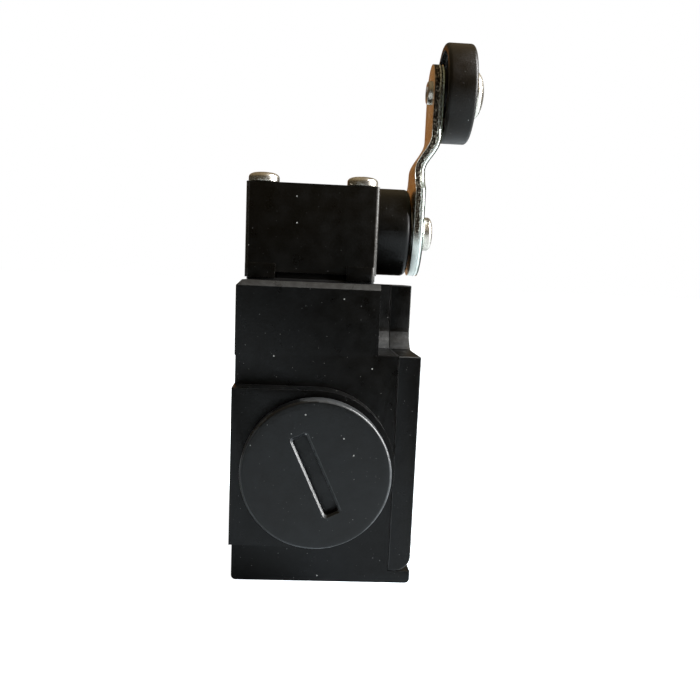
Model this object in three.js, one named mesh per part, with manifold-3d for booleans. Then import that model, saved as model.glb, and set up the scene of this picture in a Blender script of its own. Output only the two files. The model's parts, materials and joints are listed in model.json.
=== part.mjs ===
// Roller-lever limit switch with two side cable entries, as an assembly of separate pieces.
// Millimetres. +Z up, the cover and the lever face -Y, the mounting face is +Y.
// The origin is the middle of the base.
import * as THREE from 'three';
import { mergeVertices } from 'three/addons/utils/BufferGeometryUtils.js';
import Module from 'manifold-3d';

const wasm = await Module();
wasm.setup();

// ---------- driving dimensions ----------
const BODY_WIDTH = 47.8;
const BODY_DEPTH = 30;
const BODY_HEIGHT = 49.3;
const WALL = 2.2;
const REAR_RELIEF = 0.15;
const REAR_PAD_BELOW_NOTCH = 0.8;
const EDGE_CHAMFER = 0.9;
const BASE_CORNER = 0.8;
const PAD_CORNER = 1.5;

const COVER_THICKNESS = 3.74;
const COVER_CURVE = 2.6;
const LIP_HEIGHT = 2.05;
const SEAL_THICKNESS = 0.8;
const SEAL_WIDTH = 1.4;
const SEAL_INSET = 1.6;
const POCKET_INSET = 4.2;
const PART_GAP = 0.06;
const COVER_SCREW = { shank: 1.6, head: 3, rise: 1.5, belowTop: 5.1, bite: 5.4, sunk: 1.6 };

const HEAD_OVERHANG = 0.2;
const NOTCH_DROP = 11.2;
const TONGUE_WIDTH = 13;
const NOTCH_FILLET = 4;
const FIXING_HOLE = 4.3;
const FIXING_SPACING = 21;

const ENTRY_HEIGHT = 20.15;
const ENTRY_DEPTH_FROM_REAR = 13.4;
const ENTRY_BOSS_WALL = 2.25;
const ENTRY_BOSS_OUT = 5.1;
const ENTRY_BORE_RADIUS = 10.35;
const PLUG_FLANGE_OVERLAP = 1.37;
const PLUG_FLANGE_THICKNESS = 3.3;
const PLUG_SEAL = 1;
const PLUG_STUB_LENGTH = 6.2;
const PLUG_WALL = 2.1;
const PLUG_WEB = 1.2;
const PLUG_EDGE = 0.5;
const PLUG_SLOT_LENGTH = 13;
const PLUG_SLOT_WIDTH = 2.3;
const PLUG_SLOT_DEPTH = 1.9;
const PLUG_SLOT_LEAN = 25;
const THREAD_CLEARANCE = 0.15;
const THREAD_LEAD_IN = 0.6;

const HEAD_SIZE = 22.6;
const HEAD_FROM_REAR = 0.55;
const HEAD_ROOF_GAP = 0.4;
const HEAD_HOLLOW_GAP = 1.2;
const HEAD_TOP_WALL = 1.7;
const HEAD_HOLLOW_CORNER = 2.5;
const HEAD_CORNER = 0.7;
const HEAD_GASKET_INSET = 1.3;
const HEAD_SHEET_INSET = 0.3;
const GASKET_GAP = 0.02;
const HEAD_BASE_GAP = 1.4;
const FOOT_LENGTH = 5.2;
const FOOT_HEIGHT = 2.4;
const FOOT_PROUD = 0.25;
const FOOT_SET_BACK = 0.25;
const FOOT_LIFT = 0.4;
const HEAD_SCREW_INSET = 2.85;
const HEAD_SCREW_RADIUS = 1.5;
const HEAD_SCREW_HEAD_RADIUS = 2.65;
const HEAD_SCREW_HEAD_HEIGHT = 1.75;
const HEAD_SCREW_BITE = 4;

const SHAFT_ABOVE_BODY = 9.4;
const SHAFT_RADIUS = 4;
const SHAFT_CLEARANCE = 0.05;
const SHAFT_END_WALL = 1.8;
const COLLAR_RADIUS = 7.7;
const COLLAR_LENGTH = 6.05;
const COLLAR_ROUND = 0.9;
const SHAFT_SEAL_WIRE = 0.8;
const SHAFT_SEAL_GROOVE = 1.8;
const CAM_LIFT = 1.9;
const CAM_FLAT_WALL = 0.2;
const CAM_HUB_WALL = 0.8;
const CAM_LOBE_HALF_ANGLE = 58;
const CAM_SIDE_GAP = 1.4;
const CLIP_THICKNESS = 0.8;
const CLIP_WIDTH = 1.1;
const CLIP_MOUTH_HALF = 1.6;

const LEVER_THICKNESS = 1.74;
const LEVER_STANDOFF = 0.45;
const LEVER_EYE_RADIUS = 7.65;
const LEVER_EYE_TOP = 7.5;
const STRAP_WIDTH = 9.74;
const ARM_LENGTH = 24.7;
const JOGGLE_OFFSET = 2.63;
const JOGGLE_START = 10.8;
const JOGGLE_LENGTH = 6;
const LEVER_SCREW_RADIUS = 2;
const LEVER_SCREW_HEAD_RADIUS = 3;
const LEVER_SCREW_HEAD_HEIGHT = 1.8;
const LEVER_SCREW_BITE = 5;
const LOCK_WASHER_RADIUS = 3.6;
const LOCK_WASHER_THICKNESS = 0.65;
const LOCK_WASHER_SPLIT = 0.7;

const ROLLER_RADIUS = 8.5;
const ROLLER_THICKNESS = 5.1;
const ROLLER_RIM = 1.35;
const ROLLER_RECESS = 1.2;
const ROLLER_HUB_RADIUS = 4.1;
const ROLLER_HUB_PROUD = 0.08;
const ROLLER_GAP = 0.22;
const ROLLER_ROUND = 0.8;
const AXLE_RADIUS = 2.5;
const AXLE_HEAD_RADIUS = 4;
const AXLE_HEAD_HEIGHT = 2.2;
const AXLE_HEAD_EDGE = 0.8;
const AXLE_TAIL_RADIUS = 2;
const AXLE_TAIL_HEIGHT = 0.7;

const WELL_RADIUS = 6.5;
const WELL_FLOOR_ABOVE_NOTCH = 1.9;
const WELL_SPRING_GAP = 1.1;
const STEM_RADIUS = 3;
const TAPPET_FLANGE_GAP = 0.5;
const TAPPET_FLANGE = 1.6;
const TAPPET_TRAVEL = 2.2;
const RUN_GAP = 0.1;
const SPRING_WIRE = 0.45;

const BLOCK_WIDTH = 22;
const BLOCK_BACK = 3.2;
const BLOCK_FRONT = 21.6;
const BLOCK_BOTTOM = 4.2;
const BLOCK_TOP_GAP = 0.3;
const CHANNEL_HALF = 3.6;
const CHANNEL_FLOOR = 7;
const CHANNEL_ROOF_THICKNESS = 2.4;
const BLADE_GAP = 0.2;
const BLADE_BOTTOM = 11.4;
const BRIDGE_LENGTH = 16;
const BRIDGE_WIDTH = 3;
const BRIDGE_THICKNESS = 0.8;
const UPPER_BRIDGE = 27;
const LOWER_BRIDGE = 15;
const STRIP_THICKNESS = 0.8;
const STRIP_WIDTH = 4.4;
const TERMINAL_TAB = 6.4;
const TERMINAL_SCREW_RADIUS = 1.7;
const CLAMP_THICKNESS = 0.9;
const CONTACT_TIP_RADIUS = 1.2;
const CONTACT_TIP = 0.4;
const CONTACT_SPRING_ROOM = 3.4;
const BLOCK_SCREW = { shank: 1.2, head: 2, rise: 1.2, seat: 12, inset: 2.6 };
const TERMINAL_SCREW_RISE = 1.3;
const TERMINAL_SCREW_BITE = 3.6;

// facets round a full turn
const ROUND = 40;
const BEARING_ROUND = 24;
const SMALL_ROUND = 16;

// ---------- sizes that follow from them ----------
const fromRear = (depth) => BODY_DEPTH / 2 - depth;
const HALF_WIDTH = BODY_WIDTH / 2;
const NOTCH_FLOOR = BODY_HEIGHT - NOTCH_DROP;
const REAR_PAD_FROM = NOTCH_FLOOR - REAR_PAD_BELOW_NOTCH;
const COVER_SCREW_HEIGHT = BODY_HEIGHT - COVER_SCREW.belowTop;
const SEAT = BODY_DEPTH - COVER_THICKNESS;
const BOSS_FACE = HALF_WIDTH + ENTRY_BOSS_OUT;
const ENTRY_BOSS_RADIUS = ENTRY_BORE_RADIUS + ENTRY_BOSS_WALL;
const PLUG_FLANGE_RADIUS = ENTRY_BORE_RADIUS + PLUG_FLANGE_OVERLAP;
const HEAD_AXIS = HEAD_FROM_REAR + HEAD_SIZE / 2;
const HEAD_FRONT = HEAD_FROM_REAR + HEAD_SIZE;
const NOTCH_DEPTH_FROM_REAR = HEAD_FRONT - HEAD_OVERHANG;
const HEAD_BOTTOM_Z = BODY_HEIGHT + HEAD_BASE_GAP;
const SHAFT_HEIGHT = BODY_HEIGHT + SHAFT_ABOVE_BODY;
const CAM_FLAT = SHAFT_RADIUS + CAM_FLAT_WALL;
const CAM_RADIUS = CAM_FLAT + CAM_LIFT;
const CAM_HUB_RADIUS = SHAFT_RADIUS + CAM_HUB_WALL;
const HEAD_TOP_Z = SHAFT_HEIGHT + CAM_HUB_RADIUS + HEAD_ROOF_GAP + HEAD_TOP_WALL;
const HEAD_HEIGHT = HEAD_TOP_Z - BODY_HEIGHT;
const HEAD_HOLLOW_HALF = CAM_RADIUS + HEAD_HOLLOW_GAP;
const WELL_FLOOR = NOTCH_FLOOR + WELL_FLOOR_ABOVE_NOTCH;
const TAPPET_FLANGE_RADIUS = WELL_RADIUS - TAPPET_FLANGE_GAP;
const COLLAR_FRONT = HEAD_FRONT + PART_GAP + COLLAR_LENGTH;
const LEVER_BACK = COLLAR_FRONT + LEVER_STANDOFF;
const STRAP_FRONT = LEVER_BACK + JOGGLE_OFFSET + LEVER_THICKNESS;
const ROLLER_BACK = STRAP_FRONT + ROLLER_GAP;
const ROLLER_FRONT = ROLLER_BACK + ROLLER_THICKNESS;
const AXLE_SEAT = ROLLER_FRONT + ROLLER_HUB_PROUD + RUN_GAP;
const TAPPET_TOP = SHAFT_HEIGHT - CAM_RADIUS - RUN_GAP;
const STEM_MEET = WELL_FLOOR + TAPPET_TRAVEL + RUN_GAP;
const BLOCK_TOP = NOTCH_FLOOR - WALL - BLOCK_TOP_GAP;
const CHANNEL_ROOF = BLOCK_TOP - CHANNEL_ROOF_THICKNESS;
const BLADE_HALF = CHANNEL_HALF - BLADE_GAP;
const STRIP_INNER = BRIDGE_LENGTH / 2 - STRIP_WIDTH + 0.6;
const TERMINAL_X = STRIP_INNER + STRIP_WIDTH / 2;
const BRIDGE_LEVELS = { upper: UPPER_BRIDGE, lower: LOWER_BRIDGE };

// ---------- shape helpers ----------
function toSolid(geometry) {
  const bare = geometry.clone();
  bare.deleteAttribute('normal');
  bare.deleteAttribute('uv');
  const merged = mergeVertices(bare, 1e-5);
  const corners = merged.index.array;
  const kept = [];
  for (let i = 0; i < corners.length; i += 3) {
    const [a, b, c] = [corners[i], corners[i + 1], corners[i + 2]];
    if (a !== b && b !== c && c !== a) kept.push(a, b, c);
  }
  return new wasm.Manifold(new wasm.Mesh({
    numProp: 3,
    vertProperties: Float32Array.from(merged.attributes.position.array),
    triVerts: Uint32Array.from(kept),
  }));
}

function toGeometry(solid) {
  const mesh = solid.getMesh();
  const geometry = new THREE.BufferGeometry();
  geometry.setAttribute('position', new THREE.Float32BufferAttribute(mesh.vertProperties, 3));
  geometry.setIndex(Array.from(mesh.triVerts));
  const flat = geometry.toNonIndexed();
  flat.computeVertexNormals();
  return flat;
}

// A box between two values on each axis.
function block([x0, x1], [y0, y1], [z0, z1]) {
  const box = new THREE.BoxGeometry(Math.abs(x1 - x0), Math.abs(y1 - y0), Math.abs(z1 - z0));
  box.translate((x0 + x1) / 2, (y0 + y1) / 2, (z0 + z1) / 2);
  return toSolid(box);
}

// Turns a shape made round Z so that its +Z lies along the named direction.
const TURNS = {
  '+z': new THREE.Matrix4(),
  '+x': new THREE.Matrix4().makeRotationY(Math.PI / 2),
  '-x': new THREE.Matrix4().makeRotationY(-Math.PI / 2),
  '+y': new THREE.Matrix4().makeRotationX(-Math.PI / 2),
  '-y': new THREE.Matrix4().makeRotationX(Math.PI / 2),
};

// A solid turned from [radius, height] pairs, standing at `at` and pointing along `way`.
function turned(profile, way, at, sides = ROUND) {
  const points = profile.map(([radius, height]) => new THREE.Vector2(radius, height));
  const lathe = new THREE.LatheGeometry(points, sides);
  lathe.rotateX(Math.PI / 2);
  lathe.applyMatrix4(TURNS[way]);
  lathe.translate(...at);
  const solid = toSolid(lathe);
  return solid.volume() < 0 ? flipped(lathe) : solid;
}

function flipped(geometry) {
  const index = geometry.index.array;
  for (let i = 0; i < index.length; i += 3) [index[i], index[i + 1]] = [index[i + 1], index[i]];
  return toSolid(geometry);
}

function rod(radius, length, way, at, sides = ROUND) {
  return turned([[0, 0], [radius, 0], [radius, length], [0, length]], way, at, sides);
}

function tube(inner, outer, length, way, at, sides = ROUND) {
  return turned([[inner, 0], [outer, 0], [outer, length], [inner, length], [inner, 0]], way, at, sides);
}

// A flat outline drawn in X and Z, given thickness along Y.
function slabXZ(shape, [y0, y1], curveSegments = 6) {
  const depth = Math.abs(y1 - y0);
  const slab = new THREE.ExtrudeGeometry(shape, { depth, bevelEnabled: false, curveSegments });
  slab.rotateX(Math.PI / 2);
  slab.translate(0, Math.max(y0, y1), 0);
  return toSolid(slab);
}

// A flat outline drawn in Y and Z, given thickness along X.
function slabYZ(shape, [x0, x1], curveSegments = 6) {
  const depth = Math.abs(x1 - x0);
  const slab = new THREE.ExtrudeGeometry(shape, { depth, bevelEnabled: false, curveSegments });
  slab.applyMatrix4(new THREE.Matrix4().makeBasis(
    new THREE.Vector3(0, 1, 0), new THREE.Vector3(0, 0, 1), new THREE.Vector3(1, 0, 0)));
  slab.translate(Math.min(x0, x1), 0, 0);
  return toSolid(slab);
}

// A flat outline drawn in X and Y, given thickness along Z.
function slabXY(shape, [z0, z1], curveSegments = 6) {
  const slab = new THREE.ExtrudeGeometry(shape, { depth: z1 - z0, bevelEnabled: false, curveSegments });
  slab.translate(0, 0, z0);
  return toSolid(slab);
}

function roundedRectangle([x0, x1], [y0, y1], radius) {
  const shape = new THREE.Shape();
  shape.moveTo(x0 + radius, y0);
  shape.lineTo(x1 - radius, y0);
  shape.absarc(x1 - radius, y0 + radius, radius, -Math.PI / 2, 0);
  shape.lineTo(x1, y1 - radius);
  shape.absarc(x1 - radius, y1 - radius, radius, 0, Math.PI / 2);
  shape.lineTo(x0 + radius, y1);
  shape.absarc(x0 + radius, y1 - radius, radius, Math.PI / 2, Math.PI);
  shape.lineTo(x0, y0 + radius);
  shape.absarc(x0 + radius, y0 + radius, radius, Math.PI, Math.PI * 1.5);
  return shape;
}

// A round wire wound into a coil along Z.
function coil(radius, wire, height, turns) {
  class Helix extends THREE.Curve {
    getPoint(t, target = new THREE.Vector3()) {
      const angle = t * turns * Math.PI * 2;
      return target.set(radius * Math.cos(angle), radius * Math.sin(angle), t * (height - 2 * wire) + wire);
    }
  }
  const section = new THREE.Shape();
  section.absarc(0, 0, wire, 0, Math.PI * 2);
  return new THREE.ExtrudeGeometry(section, {
    steps: turns * 8, extrudePath: new Helix(), bevelEnabled: false, curveSegments: 3,
  });
}

// ---------- materials ----------
function material(colour, roughness, metalness) {
  return () => new THREE.MeshStandardMaterial({ color: colour, roughness, metalness });
}
const blackPlastic = material(0x141414, 0.62, 0);
const rollerPlastic = material(0x17120f, 0.5, 0);
const rubber = material(0x101010, 0.85, 0);
const zincSteel = material(0xc2c5c6, 0.35, 1);
const screwSteel = material(0xb4b2ac, 0.3, 1);
const springSteel = material(0x8d8f92, 0.3, 1);
const shaftSteel = material(0xa6a8ab, 0.25, 1);
const brass = material(0xb8934a, 0.35, 1);
const silver = material(0xdcdcd8, 0.3, 1);
const ivoryPlastic = material(0xcfc8b4, 0.55, 0);
const redPlastic = material(0x9c2a20, 0.5, 0);

function piece(parent, name, shape, makeMaterial) {
  const geometry = shape.isBufferGeometry ? shape : toGeometry(shape);
  const mesh = new THREE.Mesh(geometry, makeMaterial());
  mesh.name = name;
  parent.add(mesh);
  return mesh;
}

// ---------- housing ----------
// The notch that frees each upper front corner for a fixing screw, drawn in X and Z.
function notchOutline(side) {
  const inner = TONGUE_WIDTH / 2;
  const outer = HALF_WIDTH + 1;
  const top = BODY_HEIGHT + 1;
  const shape = new THREE.Shape();
  shape.moveTo(side * outer, NOTCH_FLOOR);
  shape.lineTo(side * outer, top);
  shape.lineTo(side * inner, top);
  shape.lineTo(side * inner, NOTCH_FLOOR + NOTCH_FILLET);
  const [from, to] = side > 0 ? [Math.PI, Math.PI * 1.5] : [0, -Math.PI / 2];
  shape.absarc(side * (inner + NOTCH_FILLET), NOTCH_FLOOR + NOTCH_FILLET, NOTCH_FILLET, from, to, side < 0);
  return shape;
}

// The side section of the housing: relieved rear face, chamfered top, lip under the cover.
function housingSection() {
  const shape = new THREE.Shape();
  const relief = fromRear(REAR_RELIEF);
  shape.moveTo(relief - BASE_CORNER, 0);
  shape.absarc(relief - BASE_CORNER, BASE_CORNER, BASE_CORNER, -Math.PI / 2, 0);
  shape.lineTo(relief, REAR_PAD_FROM);
  shape.lineTo(fromRear(0), REAR_PAD_FROM + REAR_RELIEF);
  shape.lineTo(fromRear(0), BODY_HEIGHT - EDGE_CHAMFER);
  shape.lineTo(fromRear(EDGE_CHAMFER), BODY_HEIGHT);
  shape.lineTo(fromRear(SEAT), BODY_HEIGHT);
  shape.lineTo(fromRear(SEAT), LIP_HEIGHT);
  shape.lineTo(fromRear(BODY_DEPTH), LIP_HEIGHT);
  shape.absarc(fromRear(BODY_DEPTH - BASE_CORNER), BASE_CORNER, BASE_CORNER, Math.PI, Math.PI * 1.5);
  return shape;
}

function entryBossOutline() {
  const centre = fromRear(ENTRY_DEPTH_FROM_REAR);
  const shape = new THREE.Shape();
  shape.moveTo(fromRear(0), ENTRY_HEIGHT - ENTRY_BOSS_RADIUS);
  shape.lineTo(fromRear(0), ENTRY_HEIGHT + ENTRY_BOSS_RADIUS);
  shape.lineTo(centre, ENTRY_HEIGHT + ENTRY_BOSS_RADIUS);
  shape.absarc(centre, ENTRY_HEIGHT, ENTRY_BOSS_RADIUS, Math.PI / 2, Math.PI * 1.5);
  return shape;
}

function topSideChamfer(side) {
  const shape = new THREE.Shape();
  const edge = side * HALF_WIDTH;
  shape.moveTo(edge - side * EDGE_CHAMFER, BODY_HEIGHT + 0.01);
  shape.lineTo(edge + side, BODY_HEIGHT + 0.01);
  shape.lineTo(edge + side, BODY_HEIGHT - EDGE_CHAMFER - 1);
  shape.closePath();
  return shape;
}

function housing() {
  const across = [-HALF_WIDTH, HALF_WIDTH];
  let body = slabYZ(housingSection(), across);
  body = body.add(slabYZ(entryBossOutline(), [-BOSS_FACE, BOSS_FACE], ROUND / 2));
  for (const side of [-1, 1]) {
    const notchDepth = [fromRear(NOTCH_DEPTH_FROM_REAR), fromRear(BODY_DEPTH + 1)];
    body = body.subtract(slabXZ(notchOutline(side), notchDepth));
    body = body.subtract(slabXZ(topSideChamfer(side), [fromRear(-1), fromRear(BODY_DEPTH)]));
    body = body.subtract(rod(FIXING_HOLE / 2, BODY_DEPTH + 2, '-y',
      [side * FIXING_SPACING / 2, fromRear(-1), NOTCH_FLOOR + NOTCH_FILLET], SMALL_ROUND));
    body = body.subtract(rod(ENTRY_BORE_RADIUS, ENTRY_BOSS_OUT + WALL + 2, side > 0 ? '+x' : '-x',
      [side * (HALF_WIDTH - WALL - 1), fromRear(ENTRY_DEPTH_FROM_REAR), ENTRY_HEIGHT]));
  }
  // the wiring chamber, open to the front
  const chamber = roundedRectangle([-HALF_WIDTH + WALL, HALF_WIDTH - WALL],
    [LIP_HEIGHT + WALL * 0.6, NOTCH_FLOOR - WALL], PAD_CORNER);
  body = body.subtract(slabXZ(chamber, [fromRear(WALL), fromRear(SEAT + 1)]));
  // the well for the tappet and its spring, and the way through to the contact block
  const axis = fromRear(HEAD_AXIS);
  body = body.subtract(rod(WELL_RADIUS, BODY_HEIGHT - WELL_FLOOR + 1, '+z', [0, axis, WELL_FLOOR]));
  body = body.subtract(rod(STEM_RADIUS + RUN_GAP * 3, WELL_FLOOR, '+z',
    [0, axis, NOTCH_FLOOR - WALL - 1], SMALL_ROUND));
  for (const [x, y] of headScrewPlaces()) {
    body = body.subtract(rod(HEAD_SCREW_RADIUS + PART_GAP, HEAD_SCREW_BITE + 1, '+z',
      [x, y, BODY_HEIGHT - HEAD_SCREW_BITE - 0.3], SMALL_ROUND));
  }
  body = body.subtract(rod(COVER_SCREW.shank + PART_GAP, COVER_SCREW.bite + 0.3, '+y',
    [0, fromRear(SEAT + 0.01), COVER_SCREW_HEIGHT], SMALL_ROUND));
  return body;
}

// ---------- cover ----------
function coverOutline(inset) {
  const half = HALF_WIDTH - inset;
  const inner = TONGUE_WIDTH / 2 - inset;
  const floor = NOTCH_FLOOR - inset;
  const fillet = NOTCH_FILLET + inset;
  const bottom = LIP_HEIGHT + PART_GAP + inset;
  const top = BODY_HEIGHT - inset;
  const shape = new THREE.Shape();
  shape.moveTo(-half, bottom);
  shape.lineTo(half, bottom);
  shape.lineTo(half, floor);
  shape.absarc(inner + fillet, floor + fillet, fillet, -Math.PI / 2, -Math.PI, true);
  shape.lineTo(inner, top);
  shape.lineTo(-inner, top);
  shape.absarc(-inner - fillet, floor + fillet, fillet, 0, -Math.PI / 2, true);
  shape.lineTo(-half, floor);
  return shape;
}

function frontCover() {
  let cover = slabXZ(coverOutline(0), [fromRear(SEAT + PART_GAP), fromRear(BODY_DEPTH)]);
  // the lower front edge sweeps back in a quarter round
  const corner = new THREE.Shape();
  const bottom = LIP_HEIGHT + PART_GAP;
  corner.moveTo(fromRear(BODY_DEPTH + 1), bottom - 1);
  corner.lineTo(fromRear(BODY_DEPTH - COVER_CURVE), bottom - 1);
  corner.lineTo(fromRear(BODY_DEPTH - COVER_CURVE), bottom);
  corner.absarc(fromRear(BODY_DEPTH - COVER_CURVE), bottom + COVER_CURVE, COVER_CURVE,
    -Math.PI / 2, -Math.PI, true);
  corner.lineTo(fromRear(BODY_DEPTH + 1), bottom + COVER_CURVE);
  cover = cover.subtract(slabYZ(corner, [-HALF_WIDTH - 1, HALF_WIDTH + 1]));
  // a shallow pocket lightens the inside, and the gasket groove runs round it
  const pocket = roundedRectangle([-HALF_WIDTH + POCKET_INSET, HALF_WIDTH - POCKET_INSET],
    [LIP_HEIGHT + POCKET_INSET, NOTCH_FLOOR - POCKET_INSET], PAD_CORNER);
  cover = cover.subtract(slabXZ(pocket, [fromRear(SEAT - 1), fromRear(SEAT + COVER_THICKNESS / 2)]));
  cover = cover.subtract(rod(COVER_SCREW.shank + RUN_GAP * 2, COVER_THICKNESS * 2, '-y',
    [0, fromRear(SEAT - 1), COVER_SCREW_HEIGHT], SMALL_ROUND));
  cover = cover.subtract(rod(COVER_SCREW.head + RUN_GAP * 2, COVER_THICKNESS, '-y',
    [0, fromRear(BODY_DEPTH - COVER_SCREW.sunk), COVER_SCREW_HEIGHT], SMALL_ROUND));
  return cover.subtract(gasketRing(PART_GAP));
}

// The cover gasket is a square-section ring round the wiring chamber.
function gasketRing(extra) {
  const lay = (inset) => roundedRectangle(
    [-HALF_WIDTH + inset, HALF_WIDTH - inset], [LIP_HEIGHT + inset, NOTCH_FLOOR - inset], 1.2);
  const depth = [fromRear(SEAT + (extra ? -1 : PART_GAP / 2)), fromRear(SEAT + SEAL_THICKNESS + extra)];
  const outer = slabXZ(lay(SEAL_INSET - extra), depth, 3);
  return outer.subtract(slabXZ(lay(SEAL_INSET + SEAL_WIDTH + extra), [depth[0] + 1, depth[1] - 1], 3));
}

// ---------- screws ----------
// A round-head screw made along its own axis: the head rises from the seat, the shank runs back.
function roundHeadScrew({ shank, head, rise, length, way, at, cross = true }) {
  const crown = rise * 0.45;
  const profile = [
    [0, -length], [shank * 0.8, -length], [shank, -length + shank * 0.4], [shank, 0], [head, 0],
    [head, rise - crown], [head * 0.8, rise - crown * 0.25], [0, rise],
  ];
  let screw = turned(profile, way, at, SMALL_ROUND);
  const reach = head * 1.15;
  const blade = head * 0.22;
  const cut = rise * 0.55;
  const slot = (wide, tall) => {
    const box = new THREE.BoxGeometry(wide, tall, cut * 2);
    box.translate(0, 0, rise);
    box.applyMatrix4(TURNS[way]);
    box.translate(...at);
    return toSolid(box);
  };
  screw = screw.subtract(slot(reach, blade));
  return cross ? screw.subtract(slot(blade, reach)) : screw;
}

function headScrewPlaces() {
  const half = HEAD_SIZE / 2 - HEAD_SCREW_INSET;
  const axis = fromRear(HEAD_AXIS);
  return [[-half, axis + half], [-half, axis - half], [half, axis - half], [half, axis + half]];
}

// ---------- cable entry plugs ----------
// Built along its own +X, with the outer edge of the entry boss at 0.
function entryPlug() {
  const stub = ENTRY_BORE_RADIUS - THREAD_CLEARANCE;
  const hollow = stub - PLUG_WALL;
  const back = PLUG_STUB_LENGTH;
  const underside = PLUG_SEAL - 0.04;
  const top = PLUG_SEAL + PLUG_FLANGE_THICKNESS;
  let plug = turned([
    [0, -back], [stub - THREAD_LEAD_IN, -back], [stub, -back + THREAD_LEAD_IN], [stub, underside],
    [PLUG_FLANGE_RADIUS, underside], [PLUG_FLANGE_RADIUS, top - PLUG_EDGE],
    [PLUG_FLANGE_RADIUS - PLUG_EDGE * 0.3, top - PLUG_EDGE * 0.3],
    [PLUG_FLANGE_RADIUS - PLUG_EDGE, top], [0, top],
  ], '+x', [0, 0, 0]);
  plug = plug.subtract(rod(hollow, back, '+x', [-back - 0.01, 0, 0]));
  // two crossing webs stiffen the hollow
  const webDepth = [-back + 1, 0.1];
  const webThickness = [-PLUG_WEB / 2, PLUG_WEB / 2];
  const webReach = [-hollow - 0.2, hollow + 0.2];
  plug = plug.add(block(webDepth, webThickness, webReach)).add(block(webDepth, webReach, webThickness));
  const slot = new THREE.BoxGeometry(PLUG_SLOT_DEPTH * 2, PLUG_SLOT_WIDTH, PLUG_SLOT_LENGTH);
  slot.rotateX(THREE.MathUtils.degToRad(PLUG_SLOT_LEAN));
  slot.translate(top, 0, 0);
  return plug.subtract(toSolid(slot));
}

function plugSeal() {
  const inner = ENTRY_BORE_RADIUS + 0.02 - THREAD_CLEARANCE;
  return tube(inner, inner + 1.1, PLUG_SEAL - 0.1, '+x', [0.03, 0, 0]);
}

// ---------- head ----------
function headHousing() {
  const half = HEAD_SIZE / 2;
  const axis = fromRear(HEAD_AXIS);
  let head = slabXY(roundedRectangle([-half, half], [axis - half, axis + half], HEAD_CORNER),
    [HEAD_BOTTOM_Z, HEAD_TOP_Z], 4);
  const footBottom = BODY_HEIGHT + FOOT_LIFT;
  const footTop = footBottom + FOOT_HEIGHT;
  // the feet stand out at the sides, and are set back at the front
  const feet = slabXY(roundedRectangle([-half - FOOT_PROUD, half + FOOT_PROUD],
    [axis - half + FOOT_SET_BACK, axis + half], HEAD_CORNER), [footBottom, footTop], 4);
  const between = half - FOOT_LENGTH;
  const tall = [footBottom - 1, footTop + 1];
  const crossCut = block([-between, between], [axis - half - 2, axis + half + 2], tall);
  const alongCut = block([-half - 2, half + 2], [axis - between, axis + between], tall);
  head = head.add(feet.subtract(crossCut).subtract(alongCut));
  const hollow = roundedRectangle([-HEAD_HOLLOW_HALF, HEAD_HOLLOW_HALF],
    [axis - HEAD_HOLLOW_HALF, axis + HEAD_HOLLOW_HALF], HEAD_HOLLOW_CORNER);
  head = head.subtract(slabXY(hollow, [BODY_HEIGHT - 1, HEAD_TOP_Z - HEAD_TOP_WALL], 5));
  head = head.subtract(rod(SHAFT_RADIUS + SHAFT_CLEARANCE, HEAD_SIZE, '-y',
    [0, fromRear(HEAD_FROM_REAR + SHAFT_END_WALL), SHAFT_HEIGHT], BEARING_ROUND));
  for (const [x, y] of headScrewPlaces()) {
    head = head.subtract(rod(HEAD_SCREW_RADIUS + PART_GAP, HEAD_HEIGHT + 2, '+z',
      [x, y, BODY_HEIGHT], SMALL_ROUND));
  }
  return head;
}

// A moulded gasket: a thin sheet under the whole foot of the head, thicker between the four feet.
function headGasket() {
  const half = HEAD_SIZE / 2 - HEAD_GASKET_INSET;
  const axis = fromRear(HEAD_AXIS);
  const sheet = HEAD_SIZE / 2 - HEAD_SHEET_INSET;
  const low = BODY_HEIGHT + GASKET_GAP;
  let gasket = slabXY(roundedRectangle([-half, half], [axis - half, axis + half], 1),
    [low, HEAD_BOTTOM_Z - GASKET_GAP], 4);
  // the head's four feet come down at the corners
  const clear = half - FOOT_LENGTH + 1;
  for (const sx of [-1, 1]) {
    for (const sy of [-1, 1]) {
      gasket = gasket.subtract(block([sx * clear, sx * (half + 1)],
        [axis + sy * clear, axis + sy * (half + 1)], [BODY_HEIGHT - 1, HEAD_BOTTOM_Z + 1]));
    }
  }
  gasket = gasket.add(slabXY(roundedRectangle([-sheet, sheet], [axis - sheet, axis + sheet], HEAD_CORNER),
    [low, BODY_HEIGHT + FOOT_LIFT - GASKET_GAP], 4));
  for (const [x, y] of headScrewPlaces()) {
    gasket = gasket.subtract(rod(HEAD_SCREW_RADIUS + RUN_GAP, HEAD_BASE_GAP * 3, '+z',
      [x, y, BODY_HEIGHT - 1], SMALL_ROUND));
  }
  return gasket.subtract(rod(WELL_RADIUS, HEAD_BASE_GAP * 3, '+z', [0, axis, BODY_HEIGHT - 1]));
}

function shaftCollar() {
  const r = COLLAR_RADIUS;
  const e = COLLAR_ROUND;
  const bore = SHAFT_RADIUS + SHAFT_CLEARANCE;
  const groove = bore + SHAFT_SEAL_WIRE * 2 + 0.15;
  const grooveDepth = SHAFT_SEAL_GROOVE;
  const rim = [0, 1, 2, 3].map((i) => (i / 3) * Math.PI / 2)
    .map((t) => [r - e + e * Math.cos(t), COLLAR_LENGTH - e + e * Math.sin(t)]);
  return turned([
    [bore, grooveDepth], [groove, grooveDepth], [groove, 0], [r, 0], ...rim, [bore, COLLAR_LENGTH],
    [bore, grooveDepth],
  ], '-y', [0, fromRear(HEAD_FRONT + PART_GAP), SHAFT_HEIGHT]);
}

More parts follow.
